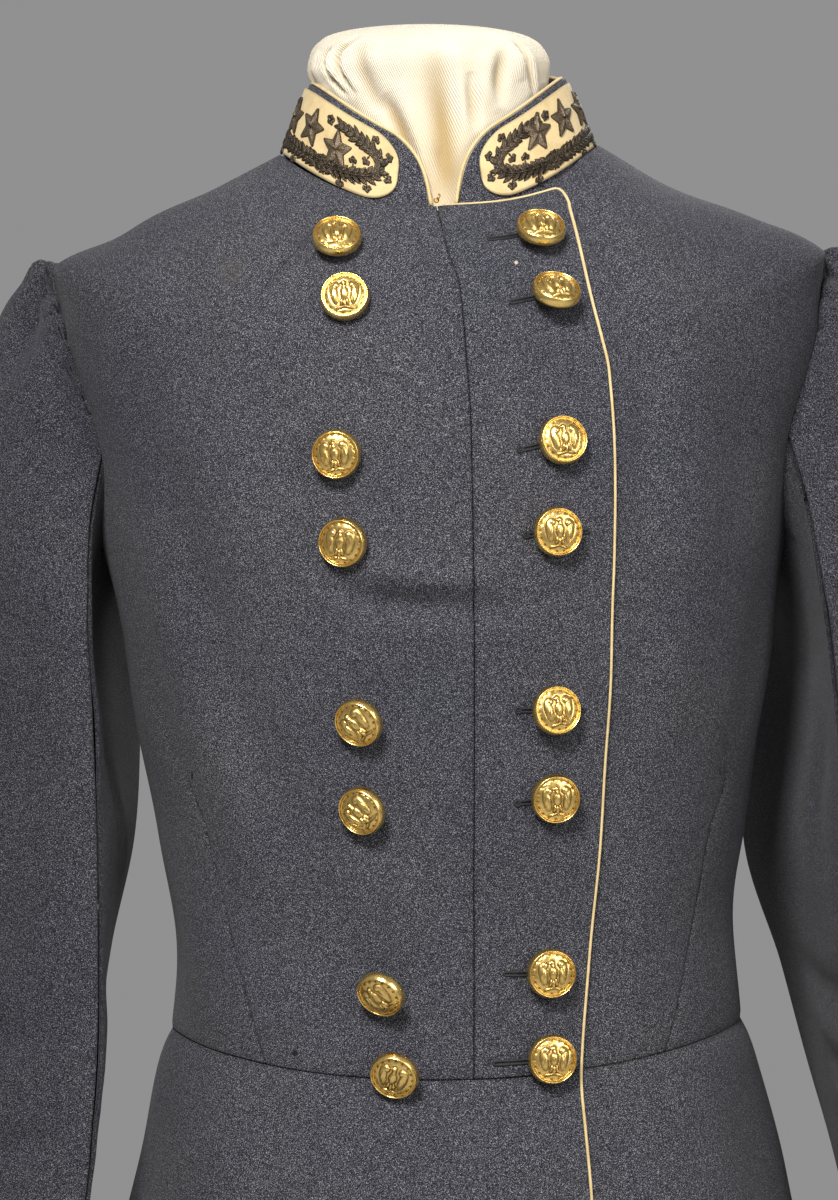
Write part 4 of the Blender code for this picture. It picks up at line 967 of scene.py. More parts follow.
def sleeveCreases(points, side, away):
    cut = sleeves[side]
    out = softWaves(points, 0.0003)
    drop = ease((cut["rows"][0][0] + 0.02 - points[..., 2]) / 0.05)
    for places, width, depth in (*armCreases, cut["creases"]):
        run = smoothRun(places)
        path = np.array([sleeveSection(cut["rows"], side, height, np.array([turn]))[0] for turn, height in run])
        out = out + trough(points, path, width, depth)
    return points + loopNormals(points, away) * (out * drop)[..., None]


def stopShort(crease, one, other):     # how far a wall ends before a crease, to clear the wall that meets it
    line = unit(np.gradient(crease, axis=0))
    one, other = one - crease, other - crease
    length = np.linalg.norm(one, axis=1)
    one, other = (way - (way * line).sum(1, keepdims=True) * line for way in (one, other))
    level, far = np.linalg.norm(one, axis=1), np.linalg.norm(other, axis=1)
    between = np.arccos(np.clip((one * other).sum(1) / level / far, -1, 1))
    return (clothes["seamGap"] / 4 + clothes["wool"] / 2 / np.tan(between / 2)) * length / level


def makeSleeve(side, hand):
    loop, away = sleeveLoop(side)
    loop = sleeveCreases(loop, side, away)
    half = loop.shape[1] // 2
    for piece, first in (("top", 0), ("under", half)):
        run = np.roll(loop, -first, axis=1)[:, :half + 1]
        rest = np.roll(loop, -first - half, axis=1)[:, :half + 1]
        reach = sleeveCut["cornerReach"]
        begins = stopShort(run[:, 0], run[:, reach], rest[:, -reach - 1])
        ends = stopShort(run[:, -1], run[:, -reach - 1], rest[:, reach])
        begins, ends = (np.convolve(np.pad(value, 2, "edge"), np.ones(5) / 5, "valid")
                        for value in (begins, ends))
        share = fineShares(sleeveCut["width"], sleeveCut["width"] / sleeveCut["columns"])
        length = distances(run, 1)
        at = begins[:, None] + (length[:, -1:] - ends[:, None] - begins[:, None]) * share[None, :]
        rows = np.array([sampled(points, far, places) for points, far, places in zip(run, length, at)])
        clothPiece(f"{piece}Sleeve{hand}Cloth", rows, f"{piece}_sleeve_{hand.lower()}",
                   ("first", "last", "foot"))


for side, hand in sides:
    makeSleeve(side, hand)
print("sleeves made")

# the collar stands between the neck line and a top ring, with slanted ends that have a round corner
collar = {"topHalfWidth": 0.0590, "topFront": -0.0610, "topBack": 0.0440, "topMiddle": -0.006,
          "frontHeight": 1.429, "sideHeight": 1.4645, "backHeight": 1.484, "rise": 1.45,
          "footScale": 0.966, "footDrop": 0.0012, "corner": 0.014, "slant": 0.004, "endRight": -0.0050,
          "endLeft": 0.0084, "endFootWidth": 0.074, "extraFoot": 0.13, "step": 0.0026}
patch = {"frontAngle": 16.5, "backAngle": 112.0, "low": 0.02, "high": 0.935}


def collarBare(angle, share):
    angle, share = np.broadcast_arrays(np.asarray(angle, float), np.asarray(share, float))
    middle, scale = np.array([0, ring("middle", 1.0), 0]), collar["footScale"]
    foot = middle + (barePoint(np.ones_like(angle), angle) - middle) * [scale, scale, 1]
    foot[..., 2] -= collar["footDrop"]
    turn = np.radians(angle)
    ahead = np.cos(turn)
    reach = np.where(ahead > 0, collar["topMiddle"] - collar["topFront"],
                     collar["topBack"] - collar["topMiddle"])
    endHeight = np.where(ahead > 0, collar["frontHeight"], collar["backHeight"])
    climb = np.abs(np.sin(turn)) ** collar["rise"]
    top = np.stack([collar["topHalfWidth"] * np.sin(turn), collar["topMiddle"] - reach * ahead,
                    endHeight + (collar["sideHeight"] - endHeight) * climb], -1)
    return foot + (top - foot) * share[..., None]


def collarNormal(angle, share):
    return unit(np.cross(collarBare(angle + 0.5, share) - collarBare(angle - 0.5, share),
                         collarBare(angle, 1.0) - collarBare(angle, 0.0)))


def collarPoint(angle, share, lift=0.0):
    angle, share = np.broadcast_arrays(np.asarray(angle, float), np.asarray(share, float))
    return collarBare(angle, share) + collarNormal(angle, share) * np.asarray(lift)[..., None]


def collarEnd(share, across, side):
    cut = collar["slant"] * share + collar["corner"] * (1 - np.sqrt(np.clip(1 - share ** 4, 0, 1)))
    width = collar["endFootWidth"] + (collar["topHalfWidth"] - collar["endFootWidth"]) * share
    return np.degrees(np.arcsin((across + side * cut) / width))


def makeCollar():
    share = np.concatenate([fineShares(0.05, collar["step"])[:-4], [0.955, 0.975, 0.99, 1.0]])
    share = np.unique(np.round(share, 5))[:, None]
    right, left = collarEnd(share, collar["endRight"], -1), collarEnd(share, collar["endLeft"], 1) - 360
    angle = right + (left - right) * fineShares(0.36, collar["step"])[None, :]
    # the foot runs on a little under the upper front's edge
    under = ease((angle + 358) / 4) * ease((-292 - angle) / 10)
    share = share - collar["extraFoot"] * under * (1 - share) ** 2
    clothPiece("collarCloth", collarPoint(angle, share, softWaves(collarBare(angle, share), 0.0001)), "collar",
               ("foot",), clothes["collar"])


def makePatch(side, hand):
    lift = clothes["collar"] / 2 + clothes["layOnGap"] + clothes["patch"] / 2
    spread = np.linspace(0, 1, 61) * 0.94 + 0.03
    spread = np.concatenate([[0, 0.006, 0.015], spread[(spread > 0.02) & (spread < 0.98)], [0.988, 0.996, 1]])
    end = np.clip(np.minimum(spread / 0.135, (1 - spread) / 0.10), 0, 1)
    reach = 0.24 + 0.76 * np.sqrt(1 - (1 - end) ** 2)
    middle, half = (patch["low"] + patch["high"]) / 2, (patch["high"] - patch["low"]) / 2
    share = middle + half * np.linspace(-1, 1, 23)[:, None] * reach[None, :]
    angle = patch["frontAngle"] + (patch["backAngle"] - patch["frontAngle"]) * spread[None, :]
    share, angle = np.broadcast_arrays(share, angle)
    clothPiece(f"collarPatch{hand}Felt", collarPoint(side * angle, share, np.full(share.shape, lift)),
               f"collar_patch_{hand.lower()}", allEdges, clothes["patch"], "buff")


makeCollar()
for side, hand in sides:
    makePatch(side, hand)
print("collar made")

# embroidery in metal thread; p runs along the patch's middle line from its front end, q up across it
wreath = {"roundness": 2.6, "endInset": 0.0092, "sideInset": 0.0062, "leafStep": 0.0034,
          # length, half width and height of a leaf and of a sprig's lobe, half width and height of the stems
          "leaf": (0.0062, 0.00150, 0.0013), "lobe": (0.0028, 0.00150, 0.0012), "stem": (0.0005, 0.0008),
          "ground": (0.0030, 0.00018), "spread": 41.0, "sprigStem": 0.0057, "lobeTurns": (-62, 0, 62),
          "petalTurns": (-144, -72, 0, 72, 144),
          # the two branches run from the foot of the patch (270 degrees) round the front and the rear
          "branches": ((-86, 68), (-66, -238)),
          # sprigs by the way they point: 1 outwards, -1 inwards, 0 a lone flower on the line
          "sprigs": {1: (-62, -36, -9, 11, 34, -96, -118, -140, -162, -186), -1: (30, -50, -124, -150),
                     0: (80,)}}
star = {"radius": 0.0106, "waist": 0.47, "edge": 0.0007, "ridge": 0.0013, "rows": 11, "around": 90, "tip": 0.10,
        # place along and up the patch, turn
        "places": {-1: ((0.0338, -0.0012, 8), (0.0540, 0.0022, -6), (0.0745, 0.0020, 4)),
                   1: ((0.0338, 0.0052, 20), (0.0540, 0.0040, 8), (0.0745, 0.0030, 4))}}
patchMiddle = (patch["low"] + patch["high"]) / 2
patchAngles = np.linspace(patch["frontAngle"], patch["backAngle"], 200)
patchRun = distances(collarBare(patchAngles, patchMiddle)[None], 1)[0]
patchRise = np.linalg.norm(collarBare(patchAngles, 1.0) - collarBare(patchAngles, 0.0), axis=-1)


def patchPoint(side, p, q, lift):
    angle = np.interp(p, patchRun, patchAngles)
    share = patchMiddle + q / np.interp(p, patchRun, patchRise)
    top = clothes["collar"] / 2 + clothes["layOnGap"] + clothes["patch"]
    return collarPoint(side * angle, share, top + lift)


# the wreath's middle line is a rounded oblong that keeps its distance from the patch's edges
def wreathLine(turn):
    turn, power = np.radians(turn), 2 / wreath["roundness"]
    half = patchRun[-1] / 2
    p = half - (half - wreath["endInset"]) * np.sign(np.cos(turn)) * np.abs(np.cos(turn)) ** power
    rise = (patch["high"] - patch["low"]) / 2 * np.interp(p, patchRun, patchRise) - wreath["sideInset"]
    return np.stack([p, rise * np.sign(np.sin(turn)) * np.abs(np.sin(turn)) ** power], -1)


def wreathRun(turns, step):    # even places along a stretch of the line, with their directions
    line = wreathLine(np.linspace(*turns, 400))
    far = distances(line[None], 1)[0]
    at = np.arange(step / 2, far[-1], step)
    way = sampled(np.gradient(line, axis=0), far, at)
    return sampled(line, far, at), np.degrees(np.arctan2(way[:, 1], way[:, 0]))


# leaves: half width goes as the sine of the length share, the face is a low vault with a groove down the middle
def leafGrids(places, turns, length, half, high):
    a, b = np.linspace(0, 1, 8)[:, None], np.linspace(-1, 1, 7)[None, :]
    width = half * np.sin(np.pi * np.clip(a, 0.01, 0.99) ** 0.85) ** 0.75
    lift = high * np.sqrt(np.clip(1 - b * b, 0, 1)) * np.sin(np.pi * np.clip(a, 0.03, 0.97)) ** 0.5
    groove = hump(b, 0.24) * (0.2 + 0.8 * np.sin(np.pi * a))
    size = 1 + 0.10 * np.sin(np.arange(len(places)) * 2.3)
    x, y = (a * length + 0 * b) * size[:, None, None], np.broadcast_to(b * width, (len(places), 8, 7))
    c, s = np.cos(np.radians(turns))[:, None, None], np.sin(np.radians(turns))[:, None, None]
    p, q = places[:, 0, None, None] + x * c - y * s, places[:, 1, None, None] + x * s + y * c
    lift = np.broadcast_to(lift * (1 - 0.45 * groove), p.shape)
    # the mark is painted shade: darker along the middle groove and towards the leaf's outline
    return p, q, lift, np.broadcast_to(np.clip(groove + (1 - lift[0] / high) ** 3, 0, 1), p.shape)


def bandGrid(places, half, high, crown):     # a strip along a run of places, flat or rounded
    across = unit(np.gradient(places, axis=0)[:, ::-1] * [-1, 1])
    b = np.linspace(-1, 1, 7)[None, :]
    ends = np.clip(np.minimum(np.arange(len(places)), np.arange(len(places))[::-1]) / 3, 0.15, 1)[:, None]
    spot = places[:, None] + across[:, None] * (b * half * ends)[..., None]
    lift = high * (np.sqrt(np.clip(1 - b * b, 0, 1)) if crown else np.minimum(1, (1 - np.abs(b)) * 6)) * ends
    # painted shade: the flat ground band is marked much darker than the rounded stems
    return spot[..., 0], spot[..., 1], lift, np.full(lift.shape, 0.2 if crown else 0.8)


def makeWreath(side, hand):
    grids = []
    for turns in wreath["branches"]:
        place, way = wreathRun(turns, wreath["leafStep"])
        shrink = np.clip((len(place) - np.arange(len(place))) / 4, 0.5, 1)
        ripple = 3.0 * np.sin(np.arange(len(place)) * 1.7)
        for lean in (-1, 1):
            turned = way + lean * (wreath["spread"] * shrink + ripple)
            grids += list(zip(*leafGrids(place, turned, *wreath["leaf"])))
        # a dark ground band under the leaves, carrying painted shade
        grids.append(bandGrid(wreathRun(turns, 0.0012)[0], *wreath["ground"], False))
        grids.append(bandGrid(wreathRun(turns, 0.0010)[0], *wreath["stem"], True))
    middle = patchRun[-1] / 2
    for out, turn in ((out, turn) for out, turns in wreath["sprigs"].items() for turn in turns):
        place = wreathLine(np.array([float(turn)]))[0]
        step = wreathLine(np.array([turn - 1.0, turn + 1.0]))
        across = unit((step[1] - step[0])[::-1] * [-1, 1])
        if (across @ (place - [middle, 0])) < 0:
            across = -across
        across = across * (out or 1)
        tip = place + across * (wreath["sprigStem"] * (0.94 if out > 0 else 1.08) if out else 0)
        way = math.degrees(math.atan2(across[1], across[0]))
        lobes = np.array(wreath["lobeTurns" if out else "petalTurns"], float)
        if out:
            stem = place + np.linspace(0.3, 1, 8)[:, None] * (tip - place)
            grids.append(bandGrid(stem, *wreath["stem"], True))
        spots = np.repeat((tip - across * 0.0004)[None], len(lobes), 0)
        grids += list(zip(*leafGrids(spots, way + lobes, *wreath["lobe"])))
    points, faces, hollow, count = [], [], [], 0
    for p, q, lift, mark in grids:
        points.append(patchPoint(side, p, q, lift - 0.00005).reshape(-1, 3))
        grid = gridFaces(*p.shape) + count
        faces.append(grid if side < 0 else grid[:, ::-1])
        hollow.append(np.ravel(mark))
        count += p.size
    points, faces, hollow = np.concatenate(points), np.concatenate(faces), np.concatenate(hollow)
    piece = putMesh(f"collarWreath{hand}Thread", points, outwards(points, faces), "bullion",
                    {"hollow": hollow, "star": np.zeros(len(hollow))})
    dress(piece, "bullion")


def outwards(points, faces):     # each face turned to look away from the neck
    a, b, c = (points[faces[:, k]] for k in (0, 1, 2))
    inward = (np.cross(b - a, c - a) * (a - [0, -0.007, a[:, 2].mean()])).sum(1) < 0
    faces = faces.copy()
    faces[inward] = faces[inward][:, ::-1]
    return faces


# a star: the outline swings between tip and waist, the face rises along ridges to the middle, the edge drops
def makeStars(side, hand):
    around = circle(star["around"])
    rows = np.append(np.linspace(0, 0.975, star["rows"])[1:], 1.0)
    swing = np.abs(np.mod(around * 5 / (2 * np.pi), 1) - 0.5) * 2
    tip, waist = star["radius"], star["radius"] * star["waist"]
    half = np.pi / 5
    # a straight edge from tip to waist, with the tip rounded a little
    bend = np.arctan2(waist * np.sin(half), tip - waist * np.cos(half))
    edge = tip * np.sin(bend) / np.sin(bend + (1 - swing) * half)
    edge = np.minimum(edge, tip * (1 - star["tip"] * hump(1 - swing, 0.10)))
    for number, (p, q, turn) in enumerate(star["places"][side], 1):
        r = rows[:, None] * edge[None, :]
        angle = around[None, :] + math.radians(90 + turn * side) + 0 * r
        rise = star["edge"] + (star["ridge"] * (1 - rows[:, None] ** 1.3) * (0.35 + 0.65 * swing[None, :] ** 2))
        lift = np.where(rows[:, None] > 0.999, 0.0, rise) + 0.00008 * np.sin(r * 5200) * np.sin(angle * 40)
        grid = patchPoint(side, p - side * r * np.cos(angle), q + r * np.sin(angle), lift)
        top = patchPoint(side, np.array([p]), np.array([q]), np.array([star["edge"] + star["ridge"] * 0.9]))
        points = np.concatenate([grid.reshape(-1, 3), top])
        count = star["around"]
        fan = np.array([((k + 1) % count, k, len(points) - 1) for k in range(count)])
        faces = outwards(points, gridFaces(*r.shape, around=True)).tolist() + outwards(points, fan).tolist()
        shade = np.where(rows[:, None] > 0.999, 1.0, 0.15 * (1 - swing[None, :]))
        hollow = np.append(np.broadcast_to(shade, r.shape), 0)
        piece = putMesh(f"collarStar{hand}{number}Thread", points, faces, "bullion",
                        {"hollow": hollow, "star": np.ones(len(points))})
        dress(piece, "bullion", f"star_{hand.lower()}_{number}")


for side, hand in sides:
    makeWreath(side, hand)
    makeStars(side, hand)
print("embroidery made")

# piping, a round cord of folded buff cloth
piping = {"radius": 0.0008, "corners": 10, "clear": 0.6, "frontStep": 0.0022, "collarStep": 0.002}


def tubeMesh(path, radius, corners=8, closed=False):    # a circle carried along a path
    along = unit((np.roll(path, -1, 0) - np.roll(path, 1, 0)) if closed else np.gradient(path, axis=0))
    side = unit(np.cross(along, np.array([0.13, -0.91, 0.39])))
    up = np.cross(side, along)
    turn = circle(corners)[None, :, None]
    radius = np.broadcast_to(np.asarray(radius, float), len(path))[:, None, None]
    points = path[:, None] + radius * (np.cos(turn) * side[:, None] + np.sin(turn) * up[:, None])
    if closed:
        last = (len(path) - 1) * corners
        faces = gridFaces(len(path), corners, around=True).tolist()
        faces += [(last + i, last + (i + 1) % corners, (i + 1) % corners, i) for i in range(corners)]
    else:
        faces = closedFaces(len(path), corners)
    return points.reshape(-1, 3), [tuple(face[::-1]) for face in faces]


def beside(points, normals, distance):
    return points + unit(np.cross(normals, np.gradient(points, axis=0))) * distance


def makeCord(name, path, radius, node):
    dress(putMesh(name, *tubeMesh(path, radius, piping["corners"]), "buff"), "buff", node)


def makePiping():
    share = np.concatenate([np.linspace(0.04, 0.84, 24), np.linspace(0.86, 0.99, 14)])
    topLevel, topAngle = lapelPlace(np.full(len(share), 0.999), share, -1)
    sideLevel, sideAngle = lapelPlace(bodyLevels[::-1], np.ones(len(bodyLevels)), -1)
    level = np.concatenate([topLevel, sideLevel, skirtLevels])
    angle = np.concatenate([topAngle, sideAngle, edgeAngle(skirtLevels)])
    clear = piping["radius"] + clothes["layOnGap"] * piping["clear"]
    path = evenly(beside(bodyPoint(level, angle), bareNormal(level, angle), clear), piping["frontStep"])
    count = np.arange(len(path))
    radius = piping["radius"] * (1 + 0.06 * np.sin(count * 1.9) * np.sin(count * 0.37))
    makeCord("frontPipingCord", path, radius, "front_piping")
    share = np.concatenate([np.linspace(0.08, 0.9, 22), np.linspace(0.92, 0.998, 8)])
    right, left = collarEnd(share, collar["endRight"], -1), collarEnd(share[::-1], collar["endLeft"], 1) - 360
    angle = np.concatenate([right, np.linspace(right[-1] - 0.8, left[0] + 0.8, 120), left])
    share = np.concatenate([share, np.ones(120), share[::-1]])
    path = beside(collarPoint(angle, share, np.zeros(len(share))), collarNormal(angle, share), -clear)
    makeCord("collarPipingCord", evenly(path, piping["collarStep"]), piping["radius"], "collar_piping")


makePiping()
print("piping made")

# buttons: the middle of each face, and how it leans, turns and rolls, in degrees
button = {"radius": 0.0115, "dome": 0.0060, "rim": 0.0012, "faceMiddle": 0.0031, "dots": 17, "dotRing": 0.77,
          "shankReach": 0.0028, "shankRadius": 0.0020, "shankGap": 0.0002, "rimGap": 0.0002, "around": 96,
          "columns": ("height", "across", "lean", "turn", "roll"),
          "Right": ((1.3890, -0.0477, -3, 14, -4), (1.3605, -0.0445, 6, 8, 2), (1.2878, -0.0499, 10, 2, 4),
                    (1.2476, -0.0479, 10, -8, -8), (1.1656, -0.0423, 20, -14, 38), (1.1255, -0.0417, 14, -18, 48),
                    (1.0417, -0.0347, 38, -14, 30), (1.0047, -0.0291, 28, -8, -22)),
          "Left": ((1.3913, 0.0461, -8, 2, 0), (1.3617, 0.0522, -26, 0, 4), (1.2926, 0.0537, -6, 4, 3),
                   (1.2507, 0.0505, 2, 2, -3), (1.1697, 0.0484, -10, 4, 6), (1.1292, 0.0471, 3, -2, 3),
                   (1.0496, 0.0437, 3, 0, 2), (1.0105, 0.0434, 2, 0, -2))}


def blob(u, v, at, size, turn=0.0, power=2.0):     # a soft-edged ellipse, 1 in the middle and 0 outside
    c, s = math.cos(math.radians(turn)), math.sin(math.radians(turn))
    a, b = ((u - at[0]) * c + (v - at[1]) * s) / size[0], (-(u - at[0]) * s + (v - at[1]) * c) / size[1]
    return np.clip(1 - (a * a + b * b) ** (power / 2), 0, 1)


# the bird in a circle of radius 1 is made of soft ellipses: hanging wings, breast, head, legs, tail and a twig
def birdForm(u, v, grow=0.0):
    lean = np.abs(u)

    def oval(a, at, size, turn=0.0):
        return blob(a, v, at, (size[0] + grow, size[1] + grow), turn)

    wing = np.maximum(oval(lean, (0.41, 0.02), (0.16, 0.47), -10),
                      0.95 * oval(lean, (0.35, 0.38), (0.16, 0.15), 30))
    feather = 1 - 0.30 * (v < 0.30) * (0.5 + 0.5 * np.cos(2 * np.pi * (lean * 7.5 + v * 1.6)))
    stripe = 1 - 0.20 * (v < 0.12) * (0.5 + 0.5 * np.cos(u * 60))
    return np.maximum.reduce([
        wing * feather, stripe * oval(u, (0.0, 0.04), (0.165, 0.28)), 0.9 * oval(u, (0.0, 0.32), (0.08, 0.13)),
        oval(u, (-0.02, 0.47), (0.095, 0.10)), 0.8 * oval(u, (-0.12, 0.46), (0.08, 0.03)),
        0.85 * oval(lean, (0.12, -0.34), (0.055, 0.16), 12), 0.75 * oval(u, (0.0, -0.42), (0.07, 0.19)),
        0.7 * oval(lean, (0.20, -0.58), (0.19, 0.04), -12)])


def buttonRelief(u, v):     # height of the face over its dome, and how dark its hollows are
    r, turn = np.hypot(u, v), np.arctan2(v, u)
    bird, around = birdForm(u, v), birdForm(u, v, 0.05)
    dots = button["dots"]
    aside = (np.mod(turn * dots / (2 * np.pi), 1) - 0.5) * 2 * np.pi * button["dotRing"] / dots
    pit = np.clip(1 - (np.hypot(aside, r - button["dotRing"]) / 0.055) ** 2, 0, 1)
    field = 1 - ease((r - 0.84) / 0.04)
    shape = np.clip(bird, 0, 1) ** 0.5
    outline = np.clip(around * 3.0, 0, 1) * (1 - np.clip(bird * 5, 0, 1))
    groove = 0.5 * (shape > 0.3) * np.clip((0.80 - shape) / 0.3, 0, 1)
    return (field * (0.0011 * shape - 0.0003 * pit - 0.0002 * outline),
            field * np.clip(outline * 0.95 + pit * 1.6 + groove * 0.6 + 0.08, 0, 1))


# a lathe of rings: domed face with relief, rolled rim, flat back and a stub of shank
def buttonShape():
    rings = np.concatenate([np.linspace(0.0, 0.84, 34)[1:],
                            [0.855, 0.87, 0.885, 0.90, 0.92, 0.94, 0.96, 0.975, 0.988, 1.0]])
    around = circle(button["around"])
    r, turn = np.meshgrid(rings, around, indexing="ij")
    u, v = r * np.cos(turn), r * np.sin(turn)
    dome = button["dome"] - 0.0026 * r ** 2.2 - 0.0006 * ease((r - 0.79) / 0.04) * ease((0.90 - r) / 0.03)
    rim = 0.0013 * np.sqrt(np.clip(1 - ((r - 0.925) / 0.078) ** 2, 0, 1)) * (r > 0.846)
    fall = np.sqrt(np.clip(1 - ((r - 0.93) / 0.07) ** 2, 0, 1))
    low = np.where(r > 0.93, button["rim"] + (dome - button["rim"]) * fall, dome)
    height, hollow = buttonRelief(u, v)
    z = low + rim * np.where(r > 0.93, 0.55, 1.0) + height
    hollow = np.maximum(hollow, hump(r - 0.868, 0.010) * 0.5)
    radius = button["radius"]
    points = np.stack([u * radius, v * radius, z], -1).reshape(-1, 3)
    back = [(radius * 0.985, 0.0006), (radius * 0.93, 0.0), (0.0030, -0.0004), (button["shankRadius"], -0.0010),
            (button["shankRadius"], -button["shankReach"])]
    rear = lathe(back, around).reshape(-1, 3)
    top = buttonRelief(np.zeros(1), np.zeros(1))[0][0] + button["dome"]
    points = np.concatenate([points, rear, [(0, 0, top), (0, 0, -button["shankReach"])]])
    rows, count = len(rings) + len(back), len(around)
    faces = gridFaces(rows, count, around=True)[:, ::-1].tolist()
    end = rows * count
    faces += [(end, i, (i + 1) % count) for i in range(count)]
    faces += [(end - count + (i + 1) % count, end - count + i, end + 1) for i in range(count)]
    hollow = np.concatenate([hollow.ravel(), np.full(len(rear), 0.6), [0, 0.6]])
    return points, faces, hollow


def makeButtons():
    shape, faces, hollow = buttonShape()
    for hand in ("Right", "Left"):
        for number, row in enumerate(button[hand], 1):
            value = dict(zip(button["columns"], row))
            height, across = value["height"], value["across"]
            for _ in range(3):
                level, angle = frontPlace(height, across)
                seat, normal = plainPoint(level, angle, clothes["wool"] / 2), Vector(bareNormal(level, angle))
                facing = normal.copy()
                facing.rotate(Matrix.Rotation(math.radians(value["lean"]), 3, "X")
                              @ Matrix.Rotation(math.radians(value["turn"]), 3, "Z"))
                tip = normal.angle(facing)
                lift = max(button["shankReach"] * math.cos(tip) + button["shankRadius"] * math.sin(tip)
                           + button["shankGap"], button["radius"] * math.sin(tip) + button["rimGap"])
                centre = Vector(seat) + normal * lift + facing * button["faceMiddle"]
                height += value["height"] - centre.z
                across += value["across"] - centre.x
            up = Vector((0, 0, 1)) - facing * facing.z
            up.normalize()
            up.rotate(Matrix.Rotation(math.radians(value["roll"]), 3, facing))
            side = up.cross(facing)
            points = (np.array(Vector(seat) + normal * lift) + shape[:, :1] * np.array(side)
                      + shape[:, 1:2] * np.array(up) + shape[:, 2:] * np.array(facing))
            piece = putMesh(f"button{hand}{number}Gilt", points, faces, "gilt", {"hollow": hollow})
            dress(piece, "gilt", f"button_{hand.lower()}_{number}")


makeButtons()
print("buttons made")

# worked buttonholes of the upper front: left end, and how far the right end passes the button's middle
holes = {"gap": 0.0008, "thread": 0.00055, "stitch": 0.0006, "eyelet": 0.0013, "step": 0.0002, "count": 30,
         "rows": ((1.3846, 0.0222, 0.002, False), (1.3557, 0.0316, 0.002, False), (1.2885, 0.0351, 0.002, True),
                  (1.2495, 0.0370, 0.0130, True), (1.1698, 0.0323, 0.0112, True), (1.1279, 0.0306, 0.002, True),
                  (1.0498, 0.0225, 0.002, False), (1.0092, 0.0171, 0.002, False))}


def seamRing(centre, along, aside, gap, count=10):    # a long loop: two straight runs and two half circles
    turn = np.linspace(-np.pi / 2, np.pi / 2, count)
    right = centre[-1] + gap * (np.cos(turn)[:, None] * along + np.sin(turn)[:, None] * aside)
    left = centre[0] - gap * (np.cos(turn)[:, None] * along + np.sin(turn)[:, None] * aside)
    return np.concatenate([right, (centre + aside * gap)[::-1][1:-1], left, (centre - aside * gap)[1:-1]])


def makeButtonholes():
    parts, count = [], holes["count"]
    for (height, across, past, eyelet), row in zip(holes["rows"], button["Left"]):
        ends = [frontPlace(height, across), frontPlace(row[0], row[1] + past)]
        level, angle = (np.linspace(ends[0][k], ends[1][k], count) for k in (0, 1))
        centre = bodyPoint(level, angle, np.full(count, clothes["wool"] / 2 + 0.0001))
        normal = bareNormal(level, angle).mean(0)
        along = unit(centre[-1] - centre[0])
        aside = np.cross(normal, along)
        rings = [seamRing(centre, along, aside, holes["gap"])]
        if eyelet:
            around = circle(24)[:, None]
            rings.append(centre[0] - along * holes["eyelet"]
                         + holes["eyelet"] * (np.cos(around) * along + np.sin(around) * aside))
        for loop in rings:
            path = evenly(np.concatenate([loop, loop[:1]]), holes["step"])[:-1]
            beat = np.arange(len(path)) * holes["step"] / holes["stitch"]
            radius = holes["thread"] * (1 + 0.22 * np.abs(np.sin(np.pi * beat)) + 0.05 * np.sin(beat * 1.7))
            parts.append(tubeMesh(path, radius, closed=True))
        # a dark strip of thread finish along each slit: painted shade of the cut
        across = (np.linspace(-1, 1, 3) * holes["gap"])[None, :, None]
        slit = centre[:, None] + aside * across - normal * 0.00005
        parts.append((slit.reshape(-1, 3), gridFaces(count, 3)[:, ::-1].tolist()))
    dress(putMesh("buttonholesThread", *joined(parts), "silk"), "wool")


# small bars of thread at the tops of the waist darts: height, across, length, lean in degrees
bars = ((1.1426, -0.1193, 0.0034, 70), (1.1394, 0.1245, 0.0032, 100))


def makeDartBars():
    parts = []
    for height, across, length, lean in bars:
        level, angle = frontPlace(height, across)
        seat, normal = bodyPoint(level, angle, clothes["wool"] / 2), bareNormal(level, angle)
        side = unit(np.cross([0, 0, 1.0], normal))
        way = math.cos(math.radians(lean)) * side + math.sin(math.radians(lean)) * np.cross(normal, side)
        path = seat + np.linspace(-0.5, 0.5, 16)[:, None] * length * way
        parts.append(tubeMesh(path, 0.0006 * (1 + 0.25 * np.abs(np.sin(np.arange(16) * 1.6)))))
    dress(putMesh("dartBarsThread", *joined(parts), "silk"), "wool")


# a brass hook at the collar's foot: a wire with a ring at one end and a bend at the other
hook = {"place": (-0.0008, -0.0752, 1.4050), "wire": 0.00042, "length": 0.0042, "ring": 0.0009, "bend": 0.0007}


def makeHook():
    turn = np.linspace(0, 2 * np.pi, 14)
    bend = np.linspace(-np.pi / 2, np.pi / 2, 10)
    loop = np.column_stack([-hook["ring"] * (1 + np.cos(turn)), np.full(len(turn), -0.0016),
                            hook["ring"] * np.sin(turn)])
    up = np.column_stack([hook["bend"] * np.cos(bend), np.full(len(bend), -0.0022),
                          hook["length"] / 2 + hook["bend"] * np.sin(bend)])
    path = np.concatenate([loop, [[0, -0.0018, 0], [0, -0.0022, hook["length"] * 0.25]], up])
    points, faces = tubeMesh(evenly(path, 0.00018) + hook["place"], hook["wire"])
    dress(putMesh("collarHookBrass", points, faces, "brass"), "gilt")


makeButtonholes()
makeDartBars()
makeHook()
print("buttonholes, bars and hook made")

